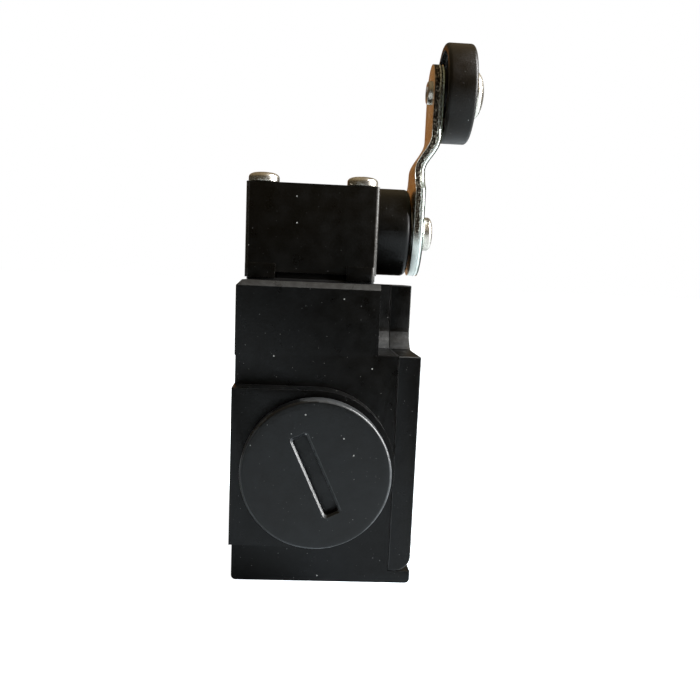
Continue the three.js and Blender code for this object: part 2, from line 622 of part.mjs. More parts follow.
function shaftSeal() {
  const thick = SHAFT_SEAL_WIRE;
  const middle = SHAFT_RADIUS + SHAFT_CLEARANCE + thick;
  const ring = Array.from({ length: 9 }, (unused, i) => (i / 8) * Math.PI * 2)
    .map((t) => [middle + thick * Math.cos(t), SHAFT_SEAL_GROOVE / 2 + thick * Math.sin(t)]);
  return turned(ring, '-y', [0, fromRear(HEAD_FRONT + PART_GAP), SHAFT_HEIGHT], BEARING_ROUND);
}

// ---------- lever group, built round the shaft axis with +Y to the rear ----------
function shaft() {
  const back = fromRear(HEAD_FROM_REAR + SHAFT_END_WALL + 0.1);
  const front = fromRear(LEVER_BACK - 0.03);
  const length = back - front;
  const solid = rod(SHAFT_RADIUS, length, '-y', [0, back, 0], BEARING_ROUND);
  const bite = LEVER_SCREW_BITE + 1;
  return solid.subtract(rod(LEVER_SCREW_RADIUS + 0.03, bite + 1, '-y', [0, front + bite, 0], SMALL_ROUND));
}

// The cam: a hub with two lobes, one on each side of the flat that rests over the tappet.
function cam() {
  const back = HEAD_AXIS - HEAD_HOLLOW_HALF + CAM_SIDE_GAP;
  const front = HEAD_AXIS + HEAD_HOLLOW_HALF - CAM_SIDE_GAP - CLIP_THICKNESS - 0.3;
  const down = -Math.PI / 2;
  const flat = Math.acos(CAM_FLAT / CAM_RADIUS);
  const lobe = THREE.MathUtils.degToRad(CAM_LOBE_HALF_ANGLE);
  const neck = lobe + 0.4;
  const outline = new THREE.Shape();
  outline.absarc(0, 0, CAM_RADIUS, down + flat, down + lobe);
  outline.absarc(0, 0, CAM_HUB_RADIUS, down + neck, down + Math.PI * 2 - neck);
  outline.absarc(0, 0, CAM_RADIUS, down + Math.PI * 2 - lobe, down + Math.PI * 2 - flat);
  outline.closePath();
  const body = slabXZ(outline, [fromRear(back), fromRear(front)], BEARING_ROUND / 2);
  return body.subtract(rod(SHAFT_RADIUS + 0.02, HEAD_SIZE, '-y', [0, fromRear(back - 1), 0], BEARING_ROUND));
}

function shaftClip() {
  const back = HEAD_AXIS + HEAD_HOLLOW_HALF - CAM_SIDE_GAP - CLIP_THICKNESS;
  const ring = tube(SHAFT_RADIUS + 0.02, SHAFT_RADIUS + CLIP_WIDTH, CLIP_THICKNESS, '-y',
    [0, fromRear(back), 0], BEARING_ROUND);
  return ring.subtract(block([-CLIP_MOUTH_HALF, CLIP_MOUTH_HALF], [fromRear(back + 2), fromRear(back - 1)],
    [0, SHAFT_RADIUS * 3]));
}

// The arm seen from the side: two flats joined by an S bend, as a centre line in depth and height.
function joggle(height) {
  const t = THREE.MathUtils.clamp((height - JOGGLE_START) / JOGGLE_LENGTH, 0, 1);
  return JOGGLE_OFFSET * t * t * (3 - 2 * t);
}

function leverArm() {
  const top = ARM_LENGTH + STRAP_WIDTH / 2;
  const bends = Array.from({ length: 9 }, (unused, i) => JOGGLE_START + (JOGGLE_LENGTH * i) / 8);
  const heights = [-LEVER_EYE_RADIUS - 1, ...bends, top + 1];
  const section = new THREE.Shape();
  heights.forEach((height, i) => {
    const y = fromRear(LEVER_BACK + joggle(height));
    if (i === 0) section.moveTo(y, height);
    else section.lineTo(y, height);
  });
  heights.reverse().forEach((height) => {
    const slope = (joggle(height + 0.01) - joggle(height - 0.01)) / 0.02;
    const across = LEVER_THICKNESS * Math.sqrt(1 + slope * slope);
    section.lineTo(fromRear(LEVER_BACK + joggle(height) + across), height);
  });
  const bent = slabYZ(section, [-LEVER_EYE_RADIUS - 1, LEVER_EYE_RADIUS + 1]);

  const half = STRAP_WIDTH / 2;
  const outline = new THREE.Shape();
  outline.moveTo(LEVER_EYE_RADIUS, 0);
  outline.lineTo(LEVER_EYE_RADIUS, LEVER_EYE_TOP);
  outline.bezierCurveTo(LEVER_EYE_RADIUS - 1.2, LEVER_EYE_TOP + 0.8, half, LEVER_EYE_TOP + 1.2,
    half, LEVER_EYE_TOP + 4);
  outline.lineTo(half, ARM_LENGTH);
  outline.absarc(0, ARM_LENGTH, half, 0, Math.PI);
  outline.lineTo(-half, LEVER_EYE_TOP + 4);
  outline.bezierCurveTo(-half, LEVER_EYE_TOP + 1.2, -LEVER_EYE_RADIUS + 1.2, LEVER_EYE_TOP + 0.8,
    -LEVER_EYE_RADIUS, LEVER_EYE_TOP);
  outline.lineTo(-LEVER_EYE_RADIUS, 0);
  outline.absarc(0, 0, LEVER_EYE_RADIUS, Math.PI, Math.PI * 2);
  const reach = [fromRear(LEVER_BACK - 1), fromRear(STRAP_FRONT + 1)];
  let arm = bent.intersect(slabXZ(outline, reach, 10));
  arm = arm.subtract(rod(LEVER_SCREW_RADIUS + 0.1, LEVER_THICKNESS + 4, '-y',
    [0, fromRear(LEVER_BACK - 1), 0], SMALL_ROUND));
  const backOfStrap = fromRear(LEVER_BACK + JOGGLE_OFFSET - 1);
  return arm.subtract(rod(AXLE_TAIL_RADIUS + 0.02, LEVER_THICKNESS + 4, '-y', [0, backOfStrap, ARM_LENGTH],
    BEARING_ROUND));
}

function lockWasher() {
  const back = LEVER_BACK + LEVER_THICKNESS + 0.02;
  const washer = tube(LEVER_SCREW_RADIUS + 0.1, LOCK_WASHER_RADIUS, LOCK_WASHER_THICKNESS - 0.04, '-y',
    [0, fromRear(back), 0], SMALL_ROUND);
  const gap = new THREE.BoxGeometry(LOCK_WASHER_SPLIT, 3, LOCK_WASHER_RADIUS * 2);
  gap.translate(0, fromRear(back), LOCK_WASHER_RADIUS);
  gap.applyMatrix4(new THREE.Matrix4().makeRotationY(0.9));
  return washer.subtract(toSolid(gap));
}

// The stepped rivet: head in front of the roller, axle through it, tail closed behind the strap.
function rollerAxle() {
  const strap = AXLE_SEAT - STRAP_FRONT - 0.02;
  const through = strap + LEVER_THICKNESS + 0.04;
  const crown = AXLE_HEAD_HEIGHT - AXLE_HEAD_EDGE;
  const dome = Array.from({ length: 6 }, (unused, i) => (i / 5) * Math.PI / 2)
    .map((t) => [AXLE_HEAD_RADIUS * Math.cos(t), AXLE_HEAD_EDGE + crown * Math.sin(t)]);
  dome[dome.length - 1][0] = 0;
  return turned([
    [0, -through - AXLE_TAIL_HEIGHT], [AXLE_TAIL_RADIUS * 0.8, -through - AXLE_TAIL_HEIGHT],
    [AXLE_TAIL_RADIUS, -through - AXLE_TAIL_HEIGHT * 0.5], [AXLE_TAIL_RADIUS, -strap],
    [AXLE_RADIUS, -strap], [AXLE_RADIUS, 0], [AXLE_HEAD_RADIUS, 0], ...dome,
  ], '-y', [0, fromRear(AXLE_SEAT), ARM_LENGTH], BEARING_ROUND);
}

function roller() {
  const e = ROLLER_ROUND;
  const arc = (from, height) => [0, 1, 2].map((i) => from + (i / 2) * Math.PI / 2)
    .map((t) => [ROLLER_RADIUS - e + e * Math.cos(t), height + e * Math.sin(t)]);
  const bore = AXLE_RADIUS + SHAFT_CLEARANCE;
  const rim = ROLLER_RADIUS - ROLLER_RIM;
  const t = ROLLER_THICKNESS;
  return turned([
    [bore, -ROLLER_HUB_PROUD], [ROLLER_HUB_RADIUS, -ROLLER_HUB_PROUD], [ROLLER_HUB_RADIUS, ROLLER_RECESS],
    [rim, ROLLER_RECESS], [rim, 0], ...arc(-Math.PI / 2, e), ...arc(0, t - e),
    [rim, t], [rim, t - ROLLER_RECESS], [ROLLER_HUB_RADIUS, t - ROLLER_RECESS],
    [ROLLER_HUB_RADIUS, t + ROLLER_HUB_PROUD], [bore, t + ROLLER_HUB_PROUD], [bore, -ROLLER_HUB_PROUD],
  ], '-y', [0, fromRear(ROLLER_BACK), ARM_LENGTH]);
}

// ---------- tappet ----------
function tappet() {
  return turned([
    [0, STEM_MEET], [STEM_RADIUS, STEM_MEET], [STEM_RADIUS, TAPPET_TOP - TAPPET_FLANGE],
    [TAPPET_FLANGE_RADIUS, TAPPET_TOP - TAPPET_FLANGE], [TAPPET_FLANGE_RADIUS, TAPPET_TOP - 0.3],
    [TAPPET_FLANGE_RADIUS - 0.3, TAPPET_TOP], [0, TAPPET_TOP],
  ], '+z', [0, fromRear(HEAD_AXIS), 0], BEARING_ROUND);
}

// ---------- contact block ----------
function stripLevel(row) {
  const half = BRIDGE_THICKNESS / 2;
  if (row === 'upper') return UPPER_BRIDGE + half + CONTACT_TIP + RUN_GAP / 2;
  return LOWER_BRIDGE - half - CONTACT_TIP - TAPPET_TRAVEL - RUN_GAP - STRIP_THICKNESS;
}

function contactBlock() {
  const half = BLOCK_WIDTH / 2;
  const axis = fromRear(HEAD_AXIS);
  let base = block([-half, half], [fromRear(BLOCK_FRONT), fromRear(BLOCK_BACK)], [BLOCK_BOTTOM, BLOCK_TOP]);
  const channelBack = HEAD_AXIS - CHANNEL_HALF;
  base = base.subtract(block([-CHANNEL_HALF, CHANNEL_HALF],
    [fromRear(BLOCK_FRONT + 1), fromRear(channelBack)], [CHANNEL_FLOOR, CHANNEL_ROOF]));
  base = base.subtract(rod(STEM_RADIUS + RUN_GAP, BLOCK_TOP, '+z', [0, axis, CHANNEL_ROOF - 1], SMALL_ROUND));
  for (const row of ['upper', 'lower']) {
    const strip = stripLevel(row);
    const bridge = BRIDGE_LEVELS[row];
    const low = Math.min(strip - RUN_GAP, bridge - BRIDGE_THICKNESS - CONTACT_TIP - TAPPET_TRAVEL);
    const high = Math.max(strip + STRIP_THICKNESS + RUN_GAP, bridge + BRIDGE_THICKNESS + CONTACT_TIP);
    const pocketHalf = STRIP_INNER + STRIP_WIDTH + RUN_GAP;
    base = base.subtract(block([-pocketHalf, pocketHalf],
      [fromRear(BLOCK_FRONT + 1), fromRear(HEAD_AXIS - BRIDGE_WIDTH / 2 - 0.6)], [low, high]));
    for (const side of [-1, 1]) {
      base = base.subtract(rod(TERMINAL_SCREW_RADIUS + 0.3, 6, '-y',
        [side * TERMINAL_X, fromRear(BLOCK_FRONT - 5), terminalZ(row)], SMALL_ROUND));
    }
  }
  for (const [x, z] of blockScrewPlaces()) {
    base = base.subtract(rod(BLOCK_SCREW.shank + 0.2, BODY_DEPTH, '-y', [x, fromRear(0), z], SMALL_ROUND));
    const seat = [x, fromRear(BLOCK_SCREW.seat), z];
    base = base.subtract(rod(BLOCK_SCREW.head + 0.3, BODY_DEPTH, '-y', seat, SMALL_ROUND));
  }
  return base;
}

const blockScrewPlaces = () => [
  [-BLOCK_WIDTH / 2 + BLOCK_SCREW.inset, (UPPER_BRIDGE + LOWER_BRIDGE) / 2],
  [BLOCK_WIDTH / 2 - BLOCK_SCREW.inset, (UPPER_BRIDGE + LOWER_BRIDGE) / 2],
];

function terminalZ(row) {
  const strip = stripLevel(row);
  return row === 'upper' ? strip + STRIP_THICKNESS + TERMINAL_TAB / 2 : strip - TERMINAL_TAB / 2;
}

// A fixed contact: a flat leg under or over the bridge, bent to a screw tab on the front.
function fixedContact(row, side) {
  const level = stripLevel(row);
  const x = [side * STRIP_INNER, side * (STRIP_INNER + STRIP_WIDTH)];
  const legBack = HEAD_AXIS - BRIDGE_WIDTH / 2;
  const tabBack = BLOCK_FRONT + RUN_GAP;
  const tabFront = tabBack + STRIP_THICKNESS;
  const top = level + STRIP_THICKNESS;
  const tab = row === 'upper' ? [level, top + TERMINAL_TAB] : [level - TERMINAL_TAB, top];
  const leg = block(x, [fromRear(legBack), fromRear(tabFront)], [level, top]);
  const strip = leg.add(block(x, [fromRear(tabBack), fromRear(tabFront)], tab));
  return strip.subtract(rod(TERMINAL_SCREW_RADIUS + 0.03, 6, '-y',
    [side * TERMINAL_X, fromRear(BLOCK_FRONT - 2), terminalZ(row)], SMALL_ROUND));
}

function clampPlate(row, side) {
  const back = BLOCK_FRONT + RUN_GAP + STRIP_THICKNESS + 0.05;
  const half = STRIP_WIDTH / 2 - 0.1;
  const x = side * TERMINAL_X;
  const z = terminalZ(row);
  const tall = TERMINAL_TAB / 2 - 0.3;
  const depth = [fromRear(back), fromRear(back + CLAMP_THICKNESS)];
  const plate = block([x - half, x + half], depth, [z - tall, z + tall]);
  return plate.subtract(rod(TERMINAL_SCREW_RADIUS + 0.05, 4, '-y', [x, fromRear(back - 1), z], SMALL_ROUND));
}

function terminalScrew(row, side) {
  const seat = BLOCK_FRONT + RUN_GAP + STRIP_THICKNESS + CLAMP_THICKNESS + 0.1;
  return roundHeadScrew({
    shank: TERMINAL_SCREW_RADIUS, head: STRIP_WIDTH / 2 + 0.2, rise: TERMINAL_SCREW_RISE,
    length: seat - BLOCK_FRONT + TERMINAL_SCREW_BITE,
    way: '-y', at: [side * TERMINAL_X, fromRear(seat), terminalZ(row)],
  });
}

// ---------- plunger and its moving contacts ----------
function plungerBody() {
  const axis = fromRear(HEAD_AXIS);
  const reach = BLADE_HALF - 0.05;
  const stemFoot = BLADE_BOTTOM + 2;
  let body = block([-BLADE_HALF, BLADE_HALF], [axis - reach, axis + reach],
    [BLADE_BOTTOM, CHANNEL_ROOF - RUN_GAP]);
  body = body.add(rod(STEM_RADIUS - 0.02, STEM_MEET - RUN_GAP / 2 - stemFoot, '+z',
    [0, axis, stemFoot], SMALL_ROUND));
  const half = BRIDGE_WIDTH / 2 + 0.1;
  for (const row of ['upper', 'lower']) {
    body = body.subtract(block([-BLADE_HALF - 1, BLADE_HALF + 1], [axis - half, axis + half], windowOf(row)));
  }
  return body;
}

function windowOf(row) {
  const level = BRIDGE_LEVELS[row];
  const half = BRIDGE_THICKNESS / 2 + 0.05;
  if (row === 'upper') return [level - half - CONTACT_SPRING_ROOM, level + half];
  return [level - half, level + half + CONTACT_SPRING_ROOM];
}

function bridge(row) {
  const level = BRIDGE_LEVELS[row];
  const axis = fromRear(HEAD_AXIS);
  const half = BRIDGE_THICKNESS / 2;
  let bar = block([-BRIDGE_LENGTH / 2, BRIDGE_LENGTH / 2],
    [axis - BRIDGE_WIDTH / 2, axis + BRIDGE_WIDTH / 2], [level - half, level + half]);
  for (const side of [-1, 1]) {
    const base = row === 'upper' ? level + half - 0.1 : level - half - CONTACT_TIP;
    const tip = rod(CONTACT_TIP_RADIUS, CONTACT_TIP + 0.1, '+z', [side * TERMINAL_X, axis, base], SMALL_ROUND);
    bar = bar.add(tip);
  }
  return bar;
}

// ---------- assembly ----------
const limitSwitch = new THREE.Group();
limitSwitch.name = 'limit_switch';

const bodyGroup = new THREE.Group();
limitSwitch.add(bodyGroup);
piece(bodyGroup, 'housing', housing(), blackPlastic);
piece(bodyGroup, 'front_cover', frontCover(), blackPlastic);
piece(bodyGroup, 'cover_gasket', gasketRing(0), rubber);
piece(bodyGroup, 'cover_screw', roundHeadScrew({
  shank: COVER_SCREW.shank, head: COVER_SCREW.head, rise: COVER_SCREW.rise,
  length: COVER_THICKNESS - COVER_SCREW.sunk + COVER_SCREW.bite - 0.4, way: '-y',
  at: [0, fromRear(BODY_DEPTH - COVER_SCREW.sunk + 0.02), COVER_SCREW_HEIGHT],
}), screwSteel);

for (const [sideName, side] of [['left', -1], ['right', 1]]) {
  const entry = new THREE.Group();
  entry.position.set(side * BOSS_FACE, fromRear(ENTRY_DEPTH_FROM_REAR), ENTRY_HEIGHT);
  entry.rotation.z = side > 0 ? 0 : Math.PI;
  bodyGroup.add(entry);
  piece(entry, `entry_plug_${sideName}`, entryPlug(), blackPlastic);
  piece(entry, `plug_seal_${sideName}`, plugSeal(), rubber);
}

const headGroup = new THREE.Group();
limitSwitch.add(headGroup);
piece(headGroup, 'head_housing', headHousing(), blackPlastic);
piece(headGroup, 'head_gasket', headGasket(), rubber);
piece(headGroup, 'shaft_collar', shaftCollar(), blackPlastic);
piece(headGroup, 'shaft_seal', shaftSeal(), rubber);
headScrewPlaces().forEach(([x, y], i) => {
  piece(headGroup, `head_screw_${i + 1}`, roundHeadScrew({
    shank: HEAD_SCREW_RADIUS, head: HEAD_SCREW_HEAD_RADIUS, rise: HEAD_SCREW_HEAD_HEIGHT,
    length: HEAD_HEIGHT + HEAD_SCREW_BITE, way: '+z', at: [x, y, HEAD_TOP_Z + 0.02],
  }), screwSteel);
});

const leverGroup = new THREE.Group();
leverGroup.position.set(0, 0, SHAFT_HEIGHT);
limitSwitch.add(leverGroup);
piece(leverGroup, 'shaft', shaft(), shaftSteel);
piece(leverGroup, 'cam', cam(), zincSteel);
piece(leverGroup, 'shaft_clip', shaftClip(), springSteel);
piece(leverGroup, 'lever_arm', leverArm(), zincSteel);
piece(leverGroup, 'lock_washer', lockWasher(), zincSteel);
piece(leverGroup, 'lever_screw', roundHeadScrew({
  shank: LEVER_SCREW_RADIUS, head: LEVER_SCREW_HEAD_RADIUS, rise: LEVER_SCREW_HEAD_HEIGHT,
  length: LEVER_THICKNESS + LOCK_WASHER_THICKNESS + LEVER_SCREW_BITE, way: '-y',
  at: [0, fromRear(LEVER_BACK + LEVER_THICKNESS + LOCK_WASHER_THICKNESS), 0],
}), screwSteel);
piece(leverGroup, 'roller_axle', rollerAxle(), screwSteel);
piece(leverGroup, 'roller', roller(), rollerPlastic);

const mechanism = new THREE.Group();
limitSwitch.add(mechanism);
piece(mechanism, 'tappet', tappet(), zincSteel);
const returnSpringHeight = TAPPET_TOP - TAPPET_FLANGE - WELL_FLOOR - RUN_GAP;
const returnSpring = piece(mechanism, 'return_spring',
  coil(WELL_RADIUS - WELL_SPRING_GAP, SPRING_WIRE, returnSpringHeight, 6), springSteel);
returnSpring.position.set(0, fromRear(HEAD_AXIS), WELL_FLOOR + RUN_GAP / 2);
piece(mechanism, 'contact_block', contactBlock(), ivoryPlastic);
blockScrewPlaces().forEach(([x, z], i) => {
  piece(mechanism, `block_screw_${i + 1}`, roundHeadScrew({
    shank: BLOCK_SCREW.shank, head: BLOCK_SCREW.head, rise: BLOCK_SCREW.rise,
    length: BLOCK_SCREW.seat - WALL - 0.6, way: '-y', at: [x, fromRear(BLOCK_SCREW.seat + 0.02), z],
  }), screwSteel);
});
piece(mechanism, 'plunger', plungerBody(), redPlastic);
const plungerSpring = piece(mechanism, 'plunger_spring',
  coil(2, 0.3, BLADE_BOTTOM - CHANNEL_FLOOR - RUN_GAP, 4), springSteel);
plungerSpring.position.set(0, fromRear(HEAD_AXIS), CHANNEL_FLOOR + RUN_GAP / 2);

for (const row of ['upper', 'lower']) {
  piece(mechanism, `contact_bridge_${row}`, bridge(row), silver);
  const [low, high] = windowOf(row);
  const room = high - low - BRIDGE_THICKNESS - RUN_GAP * 2;
  const spring = piece(mechanism, `contact_spring_${row}`, coil(0.95, 0.2, room, 4), springSteel);
  const foot = row === 'upper' ? low + 0.06 : high - room - 0.06;
  spring.position.set(0, fromRear(HEAD_AXIS), foot);
  for (const [sideName, side] of [['left', -1], ['right', 1]]) {
    piece(mechanism, `fixed_contact_${row}_${sideName}`, fixedContact(row, side), brass);
    piece(mechanism, `clamp_plate_${row}_${sideName}`, clampPlate(row, side), zincSteel);
    piece(mechanism, `terminal_screw_${row}_${sideName}`, terminalScrew(row, side), screwSteel);
  }
}

export default limitSwitch;
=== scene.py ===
# %% [markdown]
# # A roller-lever limit switch
# The switch has a black moulded body with a screwed cable entry on each side, a squared head on top, and a
# cranked steel lever that carries a plastic roller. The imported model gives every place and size. This script
# gives each piece its finish, and remakes the pieces whose shape wants more care than a machine model has.

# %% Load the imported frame
import json
import math

import bmesh
import bpy
from mathutils import Matrix, Vector


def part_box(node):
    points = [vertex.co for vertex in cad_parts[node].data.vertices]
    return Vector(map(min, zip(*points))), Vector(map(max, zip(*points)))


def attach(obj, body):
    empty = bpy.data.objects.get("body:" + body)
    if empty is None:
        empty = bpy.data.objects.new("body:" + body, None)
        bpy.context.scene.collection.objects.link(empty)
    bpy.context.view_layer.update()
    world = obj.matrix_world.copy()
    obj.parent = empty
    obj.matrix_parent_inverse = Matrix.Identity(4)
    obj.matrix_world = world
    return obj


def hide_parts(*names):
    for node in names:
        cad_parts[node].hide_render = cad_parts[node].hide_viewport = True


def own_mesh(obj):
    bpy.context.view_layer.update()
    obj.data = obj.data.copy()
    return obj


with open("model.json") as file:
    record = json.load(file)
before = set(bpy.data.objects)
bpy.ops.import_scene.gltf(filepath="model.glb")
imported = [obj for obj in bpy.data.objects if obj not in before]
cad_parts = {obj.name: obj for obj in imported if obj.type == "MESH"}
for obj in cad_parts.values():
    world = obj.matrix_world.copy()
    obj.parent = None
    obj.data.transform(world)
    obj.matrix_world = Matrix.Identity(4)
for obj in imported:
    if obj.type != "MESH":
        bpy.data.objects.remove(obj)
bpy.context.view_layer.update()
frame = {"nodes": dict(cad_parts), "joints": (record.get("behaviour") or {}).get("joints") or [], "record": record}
NODES = frame["nodes"]
JOINTS = {joint["name"]: joint for joint in frame["joints"]}
BODY_OF = {
    node: body
    for body, members in frame["record"]["behaviour"]["bodies"].items()
    for node in members
}
SLOT_OF = {row["node"]: row["material_slot"] for row in frame["record"]["subparts"]}
MM = 0.001

# %% [markdown]
# ## Where things are
# A piece that is remade has to land exactly where the model has it. So its centre and its ends are measured
# from the box of the node that it stands for, and no place is typed in by hand.


# %% Measuring helpers
def middle(node):
    low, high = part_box(node)
    return (low + high) / 2


def size(node):
    low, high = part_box(node)
    return high - low


SHAFT = Vector(JOINTS["lever_swing"]["pos_m"])
ROLLER = Vector(JOINTS["roller_spin"]["pos_m"])
print("lever length", round((ROLLER.z - SHAFT.z) / MM, 2), "mm")

# %% [markdown]
# ## Camera
# The switch is looked at from its left side, close up and a little from above, so the verticals lean
# together. A close camera with a normal lens gives that. The lens is shifted a little, as an architect's
# camera is, because the switch stands off the middle of the picture.

# %% Camera
camera_data = bpy.data.cameras.new("camera")
camera_data.lens = 45.5
camera_data.sensor_width = 36
camera_data.shift_y = 0.117
camera_data.clip_start = 0.01
camera = bpy.data.objects.new("camera", camera_data)
camera.location = (-165.57 * MM, 5.16 * MM, 50.24 * MM)
camera.rotation_euler = [math.radians(a) for a in (80.117, -2.444, -93.261)]
bpy.context.scene.collection.objects.link(camera)
bpy.context.scene.camera = camera
print("camera", [round(v / MM, 1) for v in camera.location])

# %% [markdown]
# ## Floor and light
# A pale floor meets a pale surround, so no horizon shows. Black plastic shows its shape only through what it
# reflects, so the lights are soft panels. A tall one in front of the switch draws bright lines along its
# front edges, a narrow strip beside it sharpens them, and a faint warm one on the far side gives a brownish
# tone. The floor and the surround are bright only where they are seen directly. What they give to the switch
# is weaker, or the black would turn grey.


# %% Floor, surround and panels
def soft_panel(name, place, width, height, power, colour=(1, 1, 1)):
    panel = bpy.data.lights.new(name, "AREA")
    panel.shape = "RECTANGLE"
    panel.size, panel.size_y = width, height
    panel.energy = power
    panel.color = colour
    lamp = bpy.data.objects.new(name, panel)
    lamp.visible_camera = False
    lamp.location = place
    aim = Vector((0, 0, 50 * MM)) - Vector(place)
    lamp.rotation_euler = aim.to_track_quat("-Z", "Y").to_euler()
    bpy.context.scene.collection.objects.link(lamp)


soft_panel("tall_panel", (-0.05, -0.46, 0.30), 0.16, 0.54, 13.0)
soft_panel("edge_strip", (-0.20, -0.42, 0.29), 0.04, 0.52, 2.6)
soft_panel("warm_panel", (0.48, 0.09, 0.13), 0.26, 0.26, 0.06, (1, 0.33, 0.04))

FLOOR_HALF = 6.0
floor_mesh = bpy.data.meshes.new("floor")
floor_mesh.from_pydata(
    [(x * FLOOR_HALF, y * FLOOR_HALF, 0) for x, y in ((-1, -1), (1, -1), (1, 1), (-1, 1))], [], [(0, 1, 2, 3)]
)
floor = bpy.data.objects.new("floor", floor_mesh)
bpy.context.scene.collection.objects.link(floor)
floor_paint = bpy.data.materials.new("pale_floor")
floor_paint.use_nodes = True
floor_shader = floor_paint.node_tree.nodes["Principled BSDF"]
floor_shader.inputs["Base Color"].default_value = (0.44, 0.50, 0.55, 1)
floor_shader.inputs["Roughness"].default_value = 0.9
floor_shader.inputs["Emission Color"].default_value = (0.97, 0.98, 1, 1)
floor_ray = floor_paint.node_tree.nodes.new("ShaderNodeLightPath")
floor_lift = floor_paint.node_tree.nodes.new("ShaderNodeMath")
floor_lift.operation = "MULTIPLY"
floor_lift.inputs[1].default_value = 1.0
floor_paint.node_tree.links.new(floor_ray.outputs["Is Camera Ray"], floor_lift.inputs[0])
floor_paint.node_tree.links.new(floor_lift.outputs[0], floor_shader.inputs["Emission Strength"])
floor.data.materials.append(floor_paint)

world = bpy.data.worlds.new("surround")
world.use_nodes = True
world_nodes = world.node_tree.nodes
seen = world_nodes.new("ShaderNodeBackground")
seen.inputs["Color"].default_value = (1, 1, 1, 1)
given = world_nodes["Background"]
given.inputs["Color"].default_value = (1, 0.78, 0.46, 1)
sky_place = world_nodes.new("ShaderNodeTexCoord")
sky_height = world_nodes.new("ShaderNodeSeparateXYZ")
sky = world_nodes.new("ShaderNodeMapRange")
for socket, value in (("From Min", 0.1), ("From Max", 1.0), ("To Min", 0.025), ("To Max", 0.45)):
    sky.inputs[socket].default_value = value
world.node_tree.links.new(sky_place.outputs["Generated"], sky_height.inputs["Vector"])
world.node_tree.links.new(sky_height.outputs["Z"], sky.inputs["Value"])
world.node_tree.links.new(sky.outputs["Result"], given.inputs["Strength"])
ray = world_nodes.new("ShaderNodeLightPath")
pick = world_nodes.new("ShaderNodeMixShader")
world.node_tree.links.new(ray.outputs["Is Camera Ray"], pick.inputs["Fac"])
world.node_tree.links.new(given.outputs["Background"], pick.inputs[1])
world.node_tree.links.new(seen.outputs["Background"], pick.inputs[2])
world.node_tree.links.new(pick.outputs["Shader"], world_nodes["World Output"].inputs["Surface"])
bpy.context.scene.world = world
bpy.context.scene.view_settings.view_transform = "Standard"
print("floor, surround and three panels ready")

# %% [markdown]
# ## Painting with nodes
# Every finish is a Principled shader with a few procedural layers: a slow noise that shifts the tone, a fine
# noise for the grain of the mould, specks of dust, and paler edges that stand for rubbed wear and are also a
# painted highlight. All of them read Object coordinates, so the pattern sits still on the piece when it moves.
# A small class keeps the node calls short, so that a finish reads as a list of its layers.


# %% A finish and its layers
class Finish:
    def __init__(self, name, roughness, metallic=0.0, specular=0.5):
        self.material = bpy.data.materials.new(name)
        self.material.use_nodes = True
        self.tree = self.material.node_tree
        self.shader = self.tree.nodes["Principled BSDF"]
        self.shader.inputs["Metallic"].default_value = metallic
        self.shader.inputs["Roughness"].default_value = roughness
        self.shader.inputs["Specular IOR Level"].default_value = specular
        self.place = self.node("TexCoord").outputs["Object"]

    def node(self, kind, **values):
        made = self.tree.nodes.new("ShaderNode" + kind)
        for key, value in values.items():
            setattr(made, key, value)
        return made

    def join(self, source, socket):
        self.tree.links.new(source, socket)

    def stretched(self, scale):
        """Object coordinates, drawn out differently along each axis."""
        mapping = self.node("Mapping")
        mapping.inputs["Scale"].default_value = scale
        self.join(self.place, mapping.inputs["Vector"])
        return mapping.outputs["Vector"]

    def noise(self, grain_mm, detail=2.0, place=None):
        """A noise whose blotches are about grain_mm across."""
        noise = self.node("TexNoise")
        noise.inputs["Scale"].default_value = 1 / (grain_mm * MM)
        noise.inputs["Detail"].default_value = detail
        self.join(place or self.place, noise.inputs["Vector"])
        return noise.outputs["Fac"]

    def ramp(self, value, *stops):
        """Colours, or grey levels, at places from 0 to 1."""
        ramp = self.node("ValToRGB")
        stops = [(at, tone if isinstance(tone, tuple) else (tone,) * 3) for at, tone in stops]
        points = ramp.color_ramp.elements
        points[0].position, points[-1].position = stops[0][0], stops[-1][0]
        points[0].color, points[-1].color = (*stops[0][1], 1), (*stops[-1][1], 1)
        for at, tone in stops[1:-1]:
            points.new(at).color = (*tone, 1)
        self.join(value, ramp.inputs["Fac"])
        return ramp.outputs["Color"]

    def mixed(self, factor, first, second):
        """first where factor is 0, second where it is 1. Each may be a socket or a colour."""
        mix = self.node("Mix", data_type="RGBA")
        self.join(factor, mix.inputs["Factor"])
        for socket, tone in ((mix.inputs[6], first), (mix.inputs[7], second)):
            if isinstance(tone, tuple):
                socket.default_value = (*tone, 1)
            else:
                self.join(tone, socket)
        return mix.outputs[2]

    def times(self, first, second):
        product = self.node("Math", operation="MULTIPLY")
        self.join(first, product.inputs[0])
        if isinstance(second, float):
            product.inputs[1].default_value = second
        else:
            self.join(second, product.inputs[1])
        return product.outputs[0]

    def attribute(self, name):
        return self.node("Attribute", attribute_name=name).outputs["Fac"]

    def specks(self, apart_mm, across_mm, share):
        """1 on small round specks: cells about apart_mm wide, of which only a share hold one."""
        cells = self.node("TexVoronoi")
        cells.inputs["Scale"].default_value = 1 / (apart_mm * MM)
        self.join(self.place, cells.inputs["Vector"])
        near = self.node("Math", operation="LESS_THAN")
        near.inputs[1].default_value = across_mm / apart_mm / 2
        self.join(cells.outputs["Distance"], near.inputs[0])
        chosen = self.node("Math", operation="LESS_THAN")
        chosen.inputs[1].default_value = share
        self.join(cells.outputs["Color"], chosen.inputs[0])
        return self.times(near.outputs[0], chosen.outputs[0])

    def bumped(self, height, depth_mm, strength=1.0):
        bump = self.node("Bump")
        bump.inputs["Strength"].default_value = strength
        bump.inputs["Distance"].default_value = depth_mm * MM
        self.join(height, bump.inputs["Height"])
        self.join(bump.outputs["Normal"], self.shader.inputs["Normal"])

    def coloured(self, tone):
        self.join(tone, self.shader.inputs["Base Color"])
        return self.material
